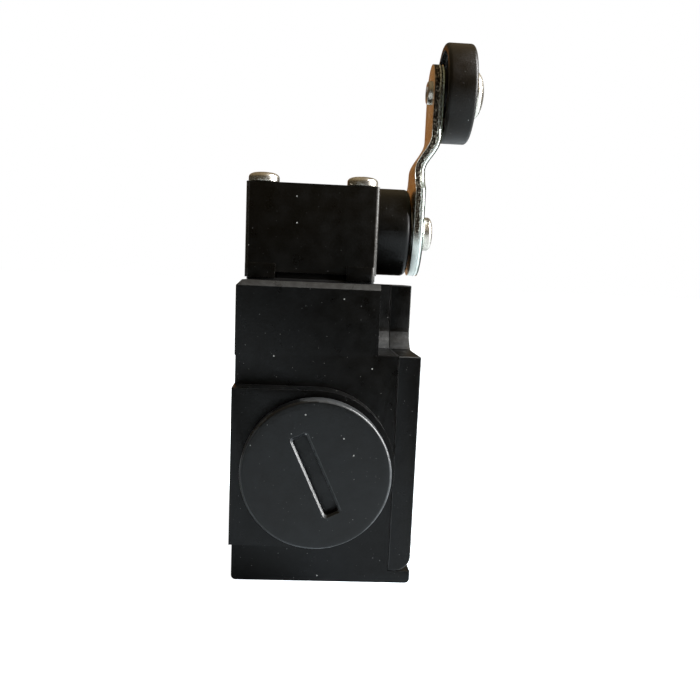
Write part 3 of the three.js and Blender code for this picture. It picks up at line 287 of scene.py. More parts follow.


# %% [markdown]
# ### Moulded plastic
# The body, cover, head, plugs and roller are glass-filled nylon, moulded nearly black. Such a surface isn't
# one black: its tone drifts between brownish and bluish, a fine grain breaks up the shine, and dust settles on
# it. The outer edges are painted paler, as rubbed wear and as a painted highlight. The specular level is kept
# low, because the grain eats most of the shine.


# %% Moulded plastic
def moulded_plastic(name, dark, light, wear_and_highlight, roughness=0.32, specular=0.2, grain=0.35, dust=0.5):
    finish = Finish(name, roughness, specular=specular)
    drift = finish.ramp(finish.noise(9, 4), (0.35, dark), (0.65, light))
    mottle = finish.mixed(finish.ramp(finish.noise(1.1, 3), (0.45, 0.0), (0.9, 0.015)), drift, wear_and_highlight)
    # Paler rounded edges: rubbed wear, and also a painted highlight along them.
    rubbed_and_highlit = finish.times(finish.attribute("edge"), finish.ramp(finish.noise(0.9, 5), (0.3, 0.5), (0.7, 1.0)))
    tone = finish.mixed(rubbed_and_highlit, mottle, wear_and_highlight)
    film = finish.ramp(finish.noise(4.5, 6), (0.5, 0.0), (0.8, 0.002))
    tone = finish.mixed(film, tone, (0.35, 0.36, 0.36))
    tone = finish.mixed(finish.specks(2.6, 0.24, dust), tone, (0.34, 0.35, 0.34))
    tone = finish.mixed(finish.specks(1.1, 0.14, dust), tone, (0.10, 0.10, 0.10))
    tone = finish.mixed(finish.specks(0.7, 0.10, dust), tone, (0.05, 0.05, 0.05))
    sheen = finish.ramp(finish.noise(2.4, 4), (0.3, roughness - 0.06), (0.7, roughness + 0.1))
    finish.join(finish.mixed(rubbed_and_highlit, sheen, (roughness * 0.7,) * 3), finish.shader.inputs["Roughness"])
    finish.bumped(finish.noise(grain, 3), 0.045, 0.6)
    return finish.coloured(tone)


FINISHES = {
    "black_plastic": moulded_plastic(
        "black_plastic", (0.0008, 0.0007, 0.0005), (0.0010, 0.0012, 0.0014), (0.060, 0.061, 0.061)),
    "plug_plastic": moulded_plastic(
        "plug_plastic", (0.0014, 0.0016, 0.0017), (0.0024, 0.0031, 0.0036), (0.070, 0.074, 0.077),
        roughness=0.34, specular=0.3, grain=0.5),
    "head_plastic": moulded_plastic(
        "head_plastic", (0.0010, 0.0007, 0.0003), (0.0010, 0.0009, 0.0006), (0.060, 0.056, 0.050), dust=0.4),
    "roller_plastic": moulded_plastic(
        "roller_plastic", (0.0040, 0.0022, 0.0007), (0.0042, 0.0034, 0.0020), (0.030, 0.022, 0.014),
        roughness=0.36, specular=0.2, grain=0.25),
}
print(len(FINISHES), "moulded plastics")

# %% [markdown]
# ### Rubber, ivory and red mouldings
# The seals are plain black rubber with a bloom of dust. The contact block is an ivory thermoset, and its
# slider is red nylon. All three are dull, so a soft noise in the tone and the roughness is enough.


# %% Rubber and the inner mouldings
def dull_moulding(name, tone, other, roughness):
    finish = Finish(name, roughness, specular=0.35)
    finish.join(
        finish.ramp(finish.noise(1.6, 4), (0.3, roughness - 0.08), (0.7, roughness + 0.08)),
        finish.shader.inputs["Roughness"])
    finish.bumped(finish.noise(0.3, 3), 0.015, 0.4)
    drift = finish.ramp(finish.noise(5, 4), (0.35, tone), (0.65, other))
    return finish.coloured(finish.mixed(finish.specks(1.8, 0.1, 0.3), drift, (0.3, 0.3, 0.3)))


FINISHES["seal_rubber"] = dull_moulding("seal_rubber", (0.004, 0.004, 0.004), (0.008, 0.008, 0.008), 0.8)
FINISHES["ivory_plastic"] = dull_moulding("ivory_plastic", (0.60, 0.55, 0.42), (0.66, 0.62, 0.50), 0.5)
FINISHES["red_plastic"] = dull_moulding("red_plastic", (0.36, 0.03, 0.02), (0.44, 0.05, 0.03), 0.45)
print(len(FINISHES), "finishes")

# %% [markdown]
# ### Metals
# Zinc plate, ground steel, spring wire, brass and silver differ in tone and in how far they scatter light.
# One function makes them all: long streaks in the roughness stand for rolling and grinding marks, and a slow
# blotch stands for the dull patches that zinc gets with age.


# %% Plated and bare metals
def metal(name, tone, dull, roughness, streak=(1, 1, 12), blotch_mm=2.5):
    finish = Finish(name, roughness, metallic=1.0)
    streaks = finish.noise(0.5, 3, finish.stretched(streak))
    finish.join(
        finish.ramp(streaks, (0.3, roughness - 0.08), (0.75, roughness + 0.12)),
        finish.shader.inputs["Roughness"])
    finish.bumped(streaks, 0.01, 0.25)
    patches = finish.ramp(finish.noise(blotch_mm, 5), (0.42, tone), (0.7, dull))
    return finish.coloured(finish.mixed(finish.specks(1.6, 0.12, 0.35), patches, (0.18, 0.15, 0.12)))


FINISHES["screw_steel"] = metal("screw_steel", (0.62, 0.59, 0.53), (0.34, 0.31, 0.27), 0.28)
FINISHES["shaft_steel"] = metal("shaft_steel", (0.50, 0.50, 0.51), (0.36, 0.36, 0.37), 0.24, (1, 14, 1))
FINISHES["spring_steel"] = metal("spring_steel", (0.40, 0.40, 0.41), (0.24, 0.24, 0.25), 0.3)
FINISHES["brass"] = metal("brass", (0.70, 0.52, 0.24), (0.48, 0.33, 0.14), 0.3)
FINISHES["contact_silver"] = metal("contact_silver", (0.80, 0.79, 0.76), (0.55, 0.53, 0.48), 0.3)
print(len(FINISHES), "finishes")

# %% [markdown]
# ### Punched zinc plate
# The lever is punched from strip and then plated. A punched edge has two bands: the punch first shears a
# bright smooth band, and the rest breaks away rough and dark. The lever's mesh stores how deep each point of
# its edge lies through the thickness, in "through", and which faces are edge, in "rim". This finish
# reads both, and lets a noise make the line between the bands ragged.


# %% Zinc plate with a sheared edge
def punched_zinc():
    finish = Finish("zinc_steel", 0.28, metallic=1.0)
    ragged = finish.node("Math", operation="ADD")
    finish.join(finish.attribute("through"), ragged.inputs[0])
    wander = finish.ramp(finish.noise(0.6, 6), (0.3, 0.0), (0.7, 1.0))
    finish.join(finish.times(wander, 0.22), ragged.inputs[1])
    torn = finish.ramp(ragged.outputs[0], (0.62, 1.0), (0.68, 0.0))
    torn = finish.times(torn, finish.attribute("rim"))
    flat = finish.ramp(finish.noise(3, 5), (0.4, (0.74, 0.79, 0.75)), (0.75, (0.58, 0.61, 0.56)))
    speckle = finish.ramp(finish.noise(0.28, 6), (0.5, (0.016, 0.012, 0.008)), (0.72, (0.42, 0.38, 0.31)))
    tone = finish.mixed(torn, flat, speckle)
    streaks = finish.noise(0.6, 3, finish.stretched((9, 9, 1)))
    smooth = finish.ramp(streaks, (0.3, 0.2), (0.75, 0.4))
    finish.join(finish.mixed(torn, smooth, (0.55, 0.55, 0.55)), finish.shader.inputs["Roughness"])
    crag = finish.times(finish.noise(0.3, 6), torn)
    finish.bumped(crag, 0.08, 0.8)
    return finish.coloured(tone)


FINISHES["zinc_steel"] = punched_zinc()
print("finishes:", ", ".join(sorted(FINISHES)))

# %% [markdown]
# ## From machine model to moulding
# The model's solids have knife edges, and no moulding has. A copy of the solid is cleaned first: its loose
# triangles are merged, and flat areas become single faces. A Bevel modifier then rounds every edge sharper than
# a set angle, and hardened normals keep the flats flat. The bevel's own faces get a second material index, which
# tells the script where the rounded edges are, so that the finish can paint them paler, as rubbed wear and as a
# painted highlight.


# %% Meshes, evaluated copies and the edge mark
FINE_WELD, WIDE_WELD = 0.002, 0.02


def add_object(name, mesh):
    obj = bpy.data.objects.new(name, mesh)
    bpy.context.scene.collection.objects.link(obj)
    return obj


def bake_modifiers(obj):
    """Replaces the mesh by what the modifiers make of it, and removes them."""
    graph = bpy.context.evaluated_depsgraph_get()
    made = bpy.data.meshes.new_from_object(
        obj.evaluated_get(graph), preserve_all_data_layers=True, depsgraph=graph)
    obj.modifiers.clear()
    obj.data = made


def mark_worn_and_highlit_edges(mesh):
    """1 on the crown of each outer rounding, half on what slants towards a side, 0 elsewhere, for each corner
    of each face. The finish paints these places paler, as rubbed wear and as a painted highlight."""
    wear_and_highlight = [0.0] * len(mesh.loops)
    bm = bmesh.new()
    bm.from_mesh(mesh)
    for face in bm.faces:
        start = mesh.polygons[face.index].loop_start
        for k, loop in enumerate(face.loops):
            vert = loop.vert
            crown = face.material_index == 1 and all(f.material_index == 1 for f in vert.link_faces)
            if crown and sum(e.calc_face_angle_signed(0) for e in vert.link_edges) > 0:
                wear_and_highlight[start + k] = 1.0
            elif 0.2 < abs(face.normal.x) < 0.97:
                wear_and_highlight[start + k] = 0.5
    bm.free()
    mesh.attributes.new("edge", "FLOAT", "CORNER").data.foreach_set("value", wear_and_highlight)
    mesh.polygons.foreach_set("material_index", [0] * len(mesh.polygons))


def finish_piece(obj, *nodes):
    """The piece stands for these nodes: it takes their finish and moves with their body."""
    slot = SLOT_OF[nodes[0]]
    obj.data.materials.clear()
    obj.data.materials.append(FINISHES[slot])
    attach(obj, BODY_OF[nodes[0]])
    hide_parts(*nodes)


def soften(obj, ease_mm, steps=3, angle=32):
    """Rounds the sharp edges and marks the outer ones."""
    obj.data.materials.clear()
    for slot in range(2):
        obj.data.materials.append(FINISHES["black_plastic"])
    obj.data.shade_smooth()
    rounding = obj.modifiers.new("rounding", "BEVEL")
    rounding.width = ease_mm * MM
    rounding.segments = steps
    rounding.limit_method = "ANGLE"
    rounding.angle_limit = math.radians(angle)
    rounding.harden_normals = True
    rounding.material = 1
    bake_modifiers(obj)
    mark_worn_and_highlit_edges(obj.data)


def merged_copy(node, name, weld_mm=FINE_WELD):
    """The node's solid with points closer than weld_mm joined and its flat areas made single faces."""
    bm = bmesh.new()
    bm.from_mesh(NODES[node].data)
    bmesh.ops.remove_doubles(bm, verts=bm.verts, dist=weld_mm * MM)
    bmesh.ops.dissolve_limit(bm, angle_limit=math.radians(0.6), verts=bm.verts, edges=bm.edges)
    mesh = bpy.data.meshes.new(name)
    bm.to_mesh(mesh)
    bm.free()
    return add_object(name, mesh)


# %% [markdown]
# ## Housing, cover and head
# These carry the look of the switch, so their roundings are chosen one by one. Each value is the most that a
# rounding may take, because the Bevel modifier narrows it to what the shortest edges allow. The round bosses
# of the housing are made of many short edges. A wider weld joins the shortest of them, and the housing still
# comes out crisper than its value says.

# %% The main mouldings
MOULDED_EASE = {
    "housing": 0.34,
    "front_cover": 0.3,
    "head_housing": 0.2,
    "head_gasket": 0.12,
    "cover_gasket": 0.2,
    "contact_block": 0.15,
    "plunger": 0.15,
}
for node, ease in MOULDED_EASE.items():
    piece = merged_copy(node, f"{node}_moulding", WIDE_WELD if node == "housing" else FINE_WELD)
    soften(piece, ease)
    finish_piece(piece, node)
    print(node, len(piece.data.polygons), "faces")

# %% [markdown]
# ## Stamped and cut metal pieces
# The contacts, clamp plates, clip and lock washer are stamped from strip, and the shaft and its cam are cut
# from bar. Each has only a small broken edge.

# %% Stampings, shaft and cam
CONTACT_PARTS = ("fixed_contact", "clamp_plate", "contact_bridge")
SHAFT_PARTS = ("cam", "shaft_clip", "shaft", "lock_washer")
STAMPED = [node for node in NODES if node.startswith(CONTACT_PARTS) or node in SHAFT_PARTS]
for node in STAMPED:
    piece = merged_copy(node, f"{node}_stamping")
    soften(piece, 0.08, steps=2)
    finish_piece(piece, node)
print(len(STAMPED), "small metal pieces")

# %% [markdown]
# ## Turned pieces
# The plugs, collar, roller, rivet, tappet and O-rings are round, so each is one outline swept round an axis.
# The outline is given by its corners, each with its own rounding, and the helper puts a true arc there. A
# Screw modifier would sweep it too, but doing it in mesh code closes the poles and seams by itself.


# %% Outline and lathe helpers
def rounded_outline(corners, closed=True, steps=5):
    """Corners are (x, y) or (x, y, radius), and a radius puts an arc in place of the corner."""
    outline = []
    for i, (x, y, *ease) in enumerate(corners):
        here = Vector((x, y))
        if not ease or (not closed and i in (0, len(corners) - 1)):
            outline.append(here)
            continue
        before = Vector(corners[i - 1][:2]) - here
        after = Vector(corners[(i + 1) % len(corners)][:2]) - here
        half = before.angle(after) / 2
        cut = min(ease[0] / math.tan(half), before.length * 0.49, after.length * 0.49)
        start, end = here + before.normalized() * cut, here + after.normalized() * cut
        centre = here + (before.normalized() + after.normalized()).normalized() * (cut / math.cos(half))
        first, last = start - centre, end - centre
        turn = math.atan2(first.x * last.y - first.y * last.x, first.dot(last))
        for k in range(steps + 1):
            cos, sin = math.cos(turn * k / steps), math.sin(turn * k / steps)
            outline.append(centre + Vector((first.x * cos - first.y * sin, first.x * sin + first.y * cos)))
    return outline


def along(way):
    """Turns +Z onto the given direction."""
    return Vector(way).to_track_quat("Z", "Y").to_matrix().to_4x4()


def lathe(name, corners, place, way, steps=96, ring=False, bulge=None):
    """Corners are (radius, height) in millimetres, with optional roundings. A ring closes on itself.
    bulge(angle, height) may add to the radius."""
    outline = rounded_outline(corners, closed=ring)
    bm = bmesh.new()
    columns = []
    poles = {}
    for s in range(steps):
        angle = math.tau * s / steps
        column = []
        for i, (radius, height) in enumerate(outline):
            if radius < 1e-6:
                if i not in poles:
                    poles[i] = bm.verts.new((0, 0, height * MM))
                column.append(poles[i])
                continue
            radius += bulge(angle, height) if bulge else 0
            column.append(bm.verts.new((
                radius * math.cos(angle) * MM, radius * math.sin(angle) * MM, height * MM)))
        columns.append(column)
    for s in range(steps):
        here, there = columns[s], columns[(s + 1) % steps]
        for i in range(len(outline) if ring else len(outline) - 1):
            j = (i + 1) % len(outline)
            corners_of_face = list(dict.fromkeys((here[i], here[j], there[j], there[i])))
            bm.faces.new(corners_of_face)
    bmesh.ops.recalc_face_normals(bm, faces=bm.faces)
    bm.transform(Matrix.Translation(place) @ along(way))
    mesh = bpy.data.meshes.new(name)
    bm.to_mesh(mesh)
    bm.free()
    mesh.shade_smooth()
    mesh.set_sharp_from_angle(angle=math.radians(38))
    return add_object(name, mesh)


# %% [markdown]
# ### Shaft collar
# The round boss that carries the lever shaft has a generous rounding at its front, which catches a bright
# line, and a fine flash line where the two halves of its mould met. The flash is a tiny ridge on each side.
# It is full between two heights and fades out towards both ends of the boss.

# %% Collar and its seal
COLLAR_RADIUS = size("shaft_collar").x / 2 / MM
COLLAR_LENGTH = size("shaft_collar").y / MM
COLLAR_EASE = 1.0
BORE_RADIUS = 4.05
GROOVE_RADIUS, GROOVE_DEPTH = 5.8, 1.8
FLASH_HEIGHT, FLASH_HALF_ANGLE = 0.05, math.radians(0.9)
FLASH_FOOT, FLASH_TOP, FLASH_MARGIN = 2.3, 3.6, 0.1


def flash_line(angle, height):
    """The ridge's height at this angle and height of the collar."""
    on_seam = abs(math.cos(angle)) > math.cos(FLASH_HALF_ANGLE)
    return FLASH_HEIGHT if on_seam and FLASH_FOOT - FLASH_MARGIN < height < FLASH_TOP + FLASH_MARGIN else 0


collar = lathe(
    "shaft_collar_moulding",
    [(BORE_RADIUS, GROOVE_DEPTH), (GROOVE_RADIUS, GROOVE_DEPTH), (GROOVE_RADIUS, 0),
     (COLLAR_RADIUS, 0, 0.15), (COLLAR_RADIUS, FLASH_FOOT), (COLLAR_RADIUS, FLASH_TOP),
     (COLLAR_RADIUS, COLLAR_LENGTH, COLLAR_EASE), (BORE_RADIUS, COLLAR_LENGTH, 0.2)],
    (SHAFT.x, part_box("shaft_collar")[1].y, SHAFT.z), (0, -1, 0), steps=200, ring=True, bulge=flash_line)
finish_piece(collar, "shaft_collar")
print("collar", round(COLLAR_RADIUS, 2), "x", round(COLLAR_LENGTH, 2), "mm")


def o_ring(node, way, wire_mm):
    """A round cord bent into a ring, in the middle of the node's box."""
    outer = max(size(node)) / 2 / MM
    cord = [
        (outer - wire_mm + wire_mm * math.cos(a), wire_mm * math.sin(a))
        for a in (math.tau * k / 16 for k in range(16))
    ]
    ring = lathe(f"{node}_o_ring", cord, middle(node), way, ring=True)
    finish_piece(ring, node)


o_ring("shaft_seal", (0, 1, 0), 0.8)
for side in ("left", "right"):
    o_ring(f"plug_seal_{side}", (1, 0, 0), 0.44)
print("three O-rings")

# %% [markdown]
# ### Roller and rivet
# The roller is a hard plastic wheel. Its tread is smooth with rounded shoulders, and both faces are hollowed
# between rim and hub. It turns on a stepped rivet, whose domed head keeps it on. The rivet's neck passes
# through the strap, and its tail is spread behind it with a small dimple in its end.

# %% Roller
ROLLER_RADIUS = size("roller").x / 2 / MM
HUB_PROUD = 0.08
ROLLER_WIDTH = size("roller").y / MM - 2 * HUB_PROUD
RIM, HUB, RECESS, AXLE_BORE = 1.35, 4.1, 1.2, 2.55
tread = ROLLER_RADIUS - RIM
roller = lathe(
    "roller_moulding",
    [(AXLE_BORE, -HUB_PROUD, 0.1), (HUB, -HUB_PROUD, 0.2), (HUB, RECESS, 0.35), (tread, RECESS, 0.35),
     (tread, 0, 0.12), (ROLLER_RADIUS, 0, 0.75), (ROLLER_RADIUS, ROLLER_WIDTH, 0.75),
     (tread, ROLLER_WIDTH, 0.12), (tread, ROLLER_WIDTH - RECESS, 0.35), (HUB, ROLLER_WIDTH - RECESS, 0.35),
     (HUB, ROLLER_WIDTH + HUB_PROUD, 0.2), (AXLE_BORE, ROLLER_WIDTH + HUB_PROUD, 0.1)],
    (ROLLER.x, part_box("roller")[1].y - HUB_PROUD * MM, ROLLER.z), (0, -1, 0), steps=144, ring=True)
finish_piece(roller, "roller")
print("roller", round(ROLLER_RADIUS * 2, 1), "mm across")

# %% Rivet
RIVET_HEAD, RIVET_RISE, RIVET_EDGE = size("roller_axle").x / 2 / MM, 2.2, 0.7
RIVET_LENGTH = size("roller_axle").y / MM
SHANK, TAIL, TAIL_RISE, NECK_LENGTH = 2.5, 2.0, 0.7, 1.78
DIMPLE_FLOOR, DIMPLE_MOUTH, DIMPLE_DEPTH = 0.9, 1.2, 0.25
tail_end = RIVET_RISE - RIVET_LENGTH
neck_end = tail_end + TAIL_RISE + NECK_LENGTH
dome = [
    (RIVET_HEAD * math.cos(a), RIVET_EDGE + (RIVET_RISE - RIVET_EDGE) * math.sin(a))
    for a in (math.pi / 2 * k / 12 for k in range(12))
]
rivet = lathe(
    "roller_rivet",
    [(0, tail_end + DIMPLE_DEPTH), (DIMPLE_FLOOR, tail_end + DIMPLE_DEPTH, 0.2),
     (DIMPLE_MOUTH, tail_end, 0.1), (TAIL, tail_end, 0.45), (TAIL, neck_end), (SHANK, neck_end, 0.1),
     (SHANK, 0), (RIVET_HEAD, 0, 0.12), *dome, (0, RIVET_RISE)],
    (ROLLER.x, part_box("roller_axle")[0].y + RIVET_RISE * MM, ROLLER.z), (0, -1, 0), steps=96)
finish_piece(rivet, "roller_axle")
print("rivet", round(RIVET_LENGTH, 2), "mm long")

# %% [markdown]
# ### Tappet
# The tappet is a turned steel button under the cam. It has a stem that reaches down to the contact block.

# %% Tappet
FLANGE, STEM, FLANGE_RISE = size("tappet").x / 2 / MM, 3.0, 1.6
TAPPET_LENGTH = size("tappet").z / MM
STEM_LENGTH = TAPPET_LENGTH - FLANGE_RISE
tappet = lathe(
    "tappet_turning",
    [(0, 0), (STEM, 0, 0.3), (STEM, STEM_LENGTH, 0.2), (FLANGE, STEM_LENGTH, 0.15),
     (FLANGE, TAPPET_LENGTH, 0.35), (0, TAPPET_LENGTH)],
    (middle("tappet").x, middle("tappet").y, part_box("tappet")[0].z), (0, 0, 1), steps=72)
finish_piece(tappet, "tappet")
print("tappet", round(TAPPET_LENGTH, 1), "mm long")

# %% [markdown]
# ## Cable entry plugs
# Each entry is closed by a screwed plug: a thick flange on an O-ring, with a slot for a coin or a blade. The
# slot's mouth is chamfered, and the side that faces the light shows as a bright line. The flange and its
# threaded stub are turned as above. The slot and its mouth are cut out with Boolean modifiers, and then all
# the new edges are rounded at once.


# %% Boolean and block helpers
def combine(obj, other, operation):
    """Joins other to obj, or cuts it out, and throws other away."""
    step = obj.modifiers.new(operation.lower(), "BOOLEAN")
    step.operation = operation
    step.solver = "EXACT"
    step.object = other
    bake_modifiers(obj)
    bpy.data.objects.remove(other)


def pad(name, wide, long, corner, low, high, turn=0.0, flare=0.0):
    """An upright pad with rounded corners, in millimetres, turned about Z. Its top may be wider by flare."""
    half_wide, half_long = wide / 2, long / 2
    outline = rounded_outline([
        (-half_wide, -half_long, corner), (half_wide, -half_long, corner),
        (half_wide, half_long, corner), (-half_wide, half_long, corner)])
    bm = bmesh.new()
    base = bm.faces.new([bm.verts.new((p.x * MM, p.y * MM, low * MM)) for p in outline])
    grown = bmesh.ops.extrude_face_region(bm, geom=[base])
    tops = [v for v in grown["geom"] if isinstance(v, bmesh.types.BMVert)]
    bmesh.ops.translate(bm, verts=tops, vec=(0, 0, (high - low) * MM))
    bmesh.ops.scale(bm, verts=tops, vec=(1 + flare / half_wide, 1 + flare / half_long, 1))
    bmesh.ops.recalc_face_normals(bm, faces=bm.faces)
    bm.transform(Matrix.Rotation(turn, 4, "Z"))
    mesh = bpy.data.meshes.new(name)
    bm.to_mesh(mesh)
    bm.free()
    return add_object(name, mesh)


# %% Plugs
SLOT_LENGTH, SLOT_WIDTH, SLOT_DEPTH, SLOT_CORNER, SLOT_LEAN = 13.0, 2.3, 1.9, 0.45, 25.0
MOUTH_WIDTH, MOUTH_DEPTH = 0.36, 0.34
FLANGE_LIFT, FLANGE_STEP = 0.96, 1.4
THREAD_PITCH, THREAD_DEPTH = 1.41, 0.45
STUB_RADIUS, STUB_LENGTH, STUB_WALL = 10.2, 6.2, 2.1


def plug_outline(flange, top):
    """From the middle of the hollow end, down the thread and over the flange to the middle of its face."""
    hollow, root = STUB_RADIUS - STUB_WALL, STUB_RADIUS - THREAD_DEPTH
    corners = [(0, 0), (hollow, 0, 0.5), (hollow, -STUB_LENGTH, 0.2), (root, -STUB_LENGTH, 0.2)]
    turns = int((STUB_LENGTH - 1) / THREAD_PITCH)
    for k in range(turns):
        foot = -STUB_LENGTH + 0.4 + k * THREAD_PITCH
        corners += [
            (root, foot), (STUB_RADIUS, foot + THREAD_PITCH * 0.4),
            (STUB_RADIUS, foot + THREAD_PITCH * 0.6), (root, foot + THREAD_PITCH)]
    return corners + [
        (root, FLANGE_LIFT), (flange, FLANGE_LIFT, 0.2),
        (flange, top, 0.5), (flange - FLANGE_STEP, top), (0, top)]


for side, way in (("left", -1), ("right", 1)):
    node = f"entry_plug_{side}"
    boss_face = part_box("housing")[(way + 1) // 2].x
    face_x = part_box(node)[(way + 1) // 2].x
    top = abs(face_x - boss_face) / MM
    flange = size(node).z / 2 / MM
    plug = lathe(f"{node}_moulding", plug_outline(flange, top), (0, 0, 0), (0, 0, 1), steps=128)
    slot = pad("slot", SLOT_WIDTH, SLOT_LENGTH, SLOT_CORNER, top - SLOT_DEPTH, top + 1)
    combine(plug, slot, "DIFFERENCE")
    mouth = pad(
        "mouth", SLOT_WIDTH, SLOT_LENGTH, SLOT_CORNER, top - MOUTH_DEPTH, top + MOUTH_DEPTH,
        flare=2 * MOUTH_WIDTH)
    combine(plug, mouth, "DIFFERENCE")
    soften(plug, 0.1, steps=2, angle=30)
    upright = Matrix(((0, 0, 1, 0), (1, 0, 0, 0), (0, 1, 0, 0), (0, 0, 0, 1)))
    lean = Matrix.Rotation(math.radians(SLOT_LEAN), 4, "X")
    facing = Matrix.Rotation(0 if way > 0 else math.pi, 4, "Z")
    centre = Vector((boss_face, middle(node).y, middle(node).z))
    plug.data.transform(Matrix.Translation(centre) @ facing @ lean @ upright)
    finish_piece(plug, node)
    print(node, "flange", round(flange * 2, 1), "mm,", len(plug.data.polygons), "faces")

# %% [markdown]
# ## The lever
# The lever is cut from strip: a wide eye for the shaft, a narrower strap, and a round end for the rivet. It
# is then cranked, so that the roller stands clear of the collar. It is made in the order of the press shop.
# A filled curve gives the flat blank with its holes and slightly rounded edges. The blank is sliced into thin
# courses, so that it can bend and so that its edge can show the step between the sheared and the torn band.
# Last, each point is moved outward along the crank.

# %% Blank
LEVER_THICKNESS = 1.74
EYE_RADIUS = size("lever_arm").x / 2 / MM
EYE_TOP = 7.5
STRAP_HALF = 4.87
ARM_LENGTH = (ROLLER.z - SHAFT.z) / MM
SCREW_HOLE, RIVET_HOLE = 2.1, 2.02
EDGE_EASE = 0.1


def blank_outline():
    """Counter-clockwise in X and Z from the right of the eye, up one side and down the other."""
    shoulder = [
        (EYE_RADIUS, EYE_TOP), (EYE_RADIUS - 1.2, EYE_TOP + 0.8), (STRAP_HALF, EYE_TOP + 1.2),
        (STRAP_HALF, EYE_TOP + 4)]

    def shoulder_point(t):
        """A point of the curve that leads from the eye into the strap, as t goes from 0 to 1."""
        weights = ((1 - t) ** 3, 3 * t * (1 - t) ** 2, 3 * t * t * (1 - t), t ** 3)
        return tuple(sum(w * p[axis] for w, p in zip(weights, shoulder)) for axis in (0, 1))

    points = [shoulder_point(k / 12) for k in range(13)]
    points += [
        (STRAP_HALF * math.cos(a), ARM_LENGTH + STRAP_HALF * math.sin(a))
        for a in (math.pi * k / 40 for k in range(41))
    ]
    points += [(-x, z) for x, z in (shoulder_point(1 - k / 12) for k in range(13))]
    points += [
        (EYE_RADIUS * math.cos(a), EYE_RADIUS * math.sin(a))
        for a in (math.pi + math.pi * k / 56 for k in range(57))
    ]
    return points


def ring_points(radius, height, steps=48):
    return [
        (radius * math.cos(a), height + radius * math.sin(a))
        for a in (math.tau * k / steps for k in range(steps))
    ]


blank = bpy.data.curves.new("blank", "CURVE")
blank.dimensions = "2D"
blank.fill_mode = "BOTH"
blank.extrude = (LEVER_THICKNESS / 2 - EDGE_EASE) * MM
blank.bevel_depth = EDGE_EASE * MM
blank.bevel_resolution = 2
blank.offset = -EDGE_EASE * MM
for loop in (blank_outline(), ring_points(SCREW_HOLE, 0), ring_points(RIVET_HOLE, ARM_LENGTH)):
    spline = blank.splines.new("POLY")
    spline.points.add(len(loop) - 1)
    for point, (x, z) in zip(spline.points, loop):
        point.co = (x * MM, z * MM, 0, 1)
    spline.use_cyclic_u = True
blank_object = bpy.data.objects.new("blank", blank)
bpy.context.scene.collection.objects.link(blank_object)
graph = bpy.context.evaluated_depsgraph_get()
blank_mesh = bpy.data.meshes.new_from_object(blank_object.evaluated_get(graph))
bpy.data.objects.remove(blank_object)
print("blank", len(blank_mesh.polygons), "faces")

# %% [markdown]
# The blank lies flat with its thickness along Z, its front face up. Slices across it let it bend, and a few
# slices through its thickness hold the line between the bands and the roll of its front edge, where the
# punch went in. "through" runs from 0 at the back to 1 at the front. "rim" is 1 on the cut edge, and fades
# round the eye, which was punched cleaner.

# %% Slice the blank and step its edge
CRANK_START, CRANK_LENGTH = 10.8, 6.0
COURSES = 18
TORN_SHARE, TORN_STEP = 0.6, 0.05
BAND_LINE = 0.06
ROLL_DEPTH, ROLL_IN = 0.6, 0.3
EYE_FADE, EYE_TEAR = 3, 0.15
bm = bmesh.new()
bm.from_mesh(blank_mesh)
bmesh.ops.remove_doubles(bm, verts=bm.verts, dist=FINE_WELD * MM)


def slice_at(point, normal):
    bmesh.ops.bisect_plane(
        bm, geom=bm.verts[:] + bm.edges[:] + bm.faces[:], dist=0.001 * MM, plane_co=point, plane_no=normal)


for k in range(COURSES + 1):
    slice_at((0, (CRANK_START + CRANK_LENGTH * k / COURSES) * MM, 0), (0, 1, 0))
torn_top = (TORN_SHARE - 0.5) * LEVER_THICKNESS
roll_foot = torn_top + BAND_LINE
for level in [torn_top, roll_foot] + [roll_foot + ROLL_DEPTH * k / 4 for k in range(1, 4)]:
    slice_at((0, 0, level * MM), (0, 0, 1))
rim_faces = {f for f in bm.faces if abs(f.normal.z) < 0.5}
rim_verts = {v for f in rim_faces for v in f.verts}
outward = {}
for vert in rim_verts:
    away = sum((f.normal for f in vert.link_faces if f in rim_faces), Vector())
    away.z = 0
    outward[vert] = away.normalized()
for vert, away in outward.items():
    level = vert.co.z / MM
    rolled = max(0, (level - roll_foot) / ROLL_DEPTH)
    vert.co -= away * MM * (TORN_STEP if level < torn_top + 0.01 else ROLL_IN * rolled ** 2)
through, rim = [], []
for face in bm.faces:
    for loop in face.loops:
        through.append(loop.vert.co.z / (LEVER_THICKNESS * MM) + 0.5)
        torn = min(max(loop.vert.co.y / MM / EYE_FADE + 1, EYE_TEAR), 1)
        rim.append(torn if face in rim_faces else 0.0)
print("slices", len(bm.faces), "faces,", len(rim_faces), "on the edge")

# %% Crank the lever
CRANK_OUT = size("lever_arm").y / MM - LEVER_THICKNESS


def crank(height_mm):
    """How far the strap has stepped forward at this height above the shaft, and how steeply."""
    t = min(max((height_mm - CRANK_START) / CRANK_LENGTH, 0), 1)
    return CRANK_OUT * t * t * (3 - 2 * t), CRANK_OUT * 6 * t * (1 - t) / CRANK_LENGTH


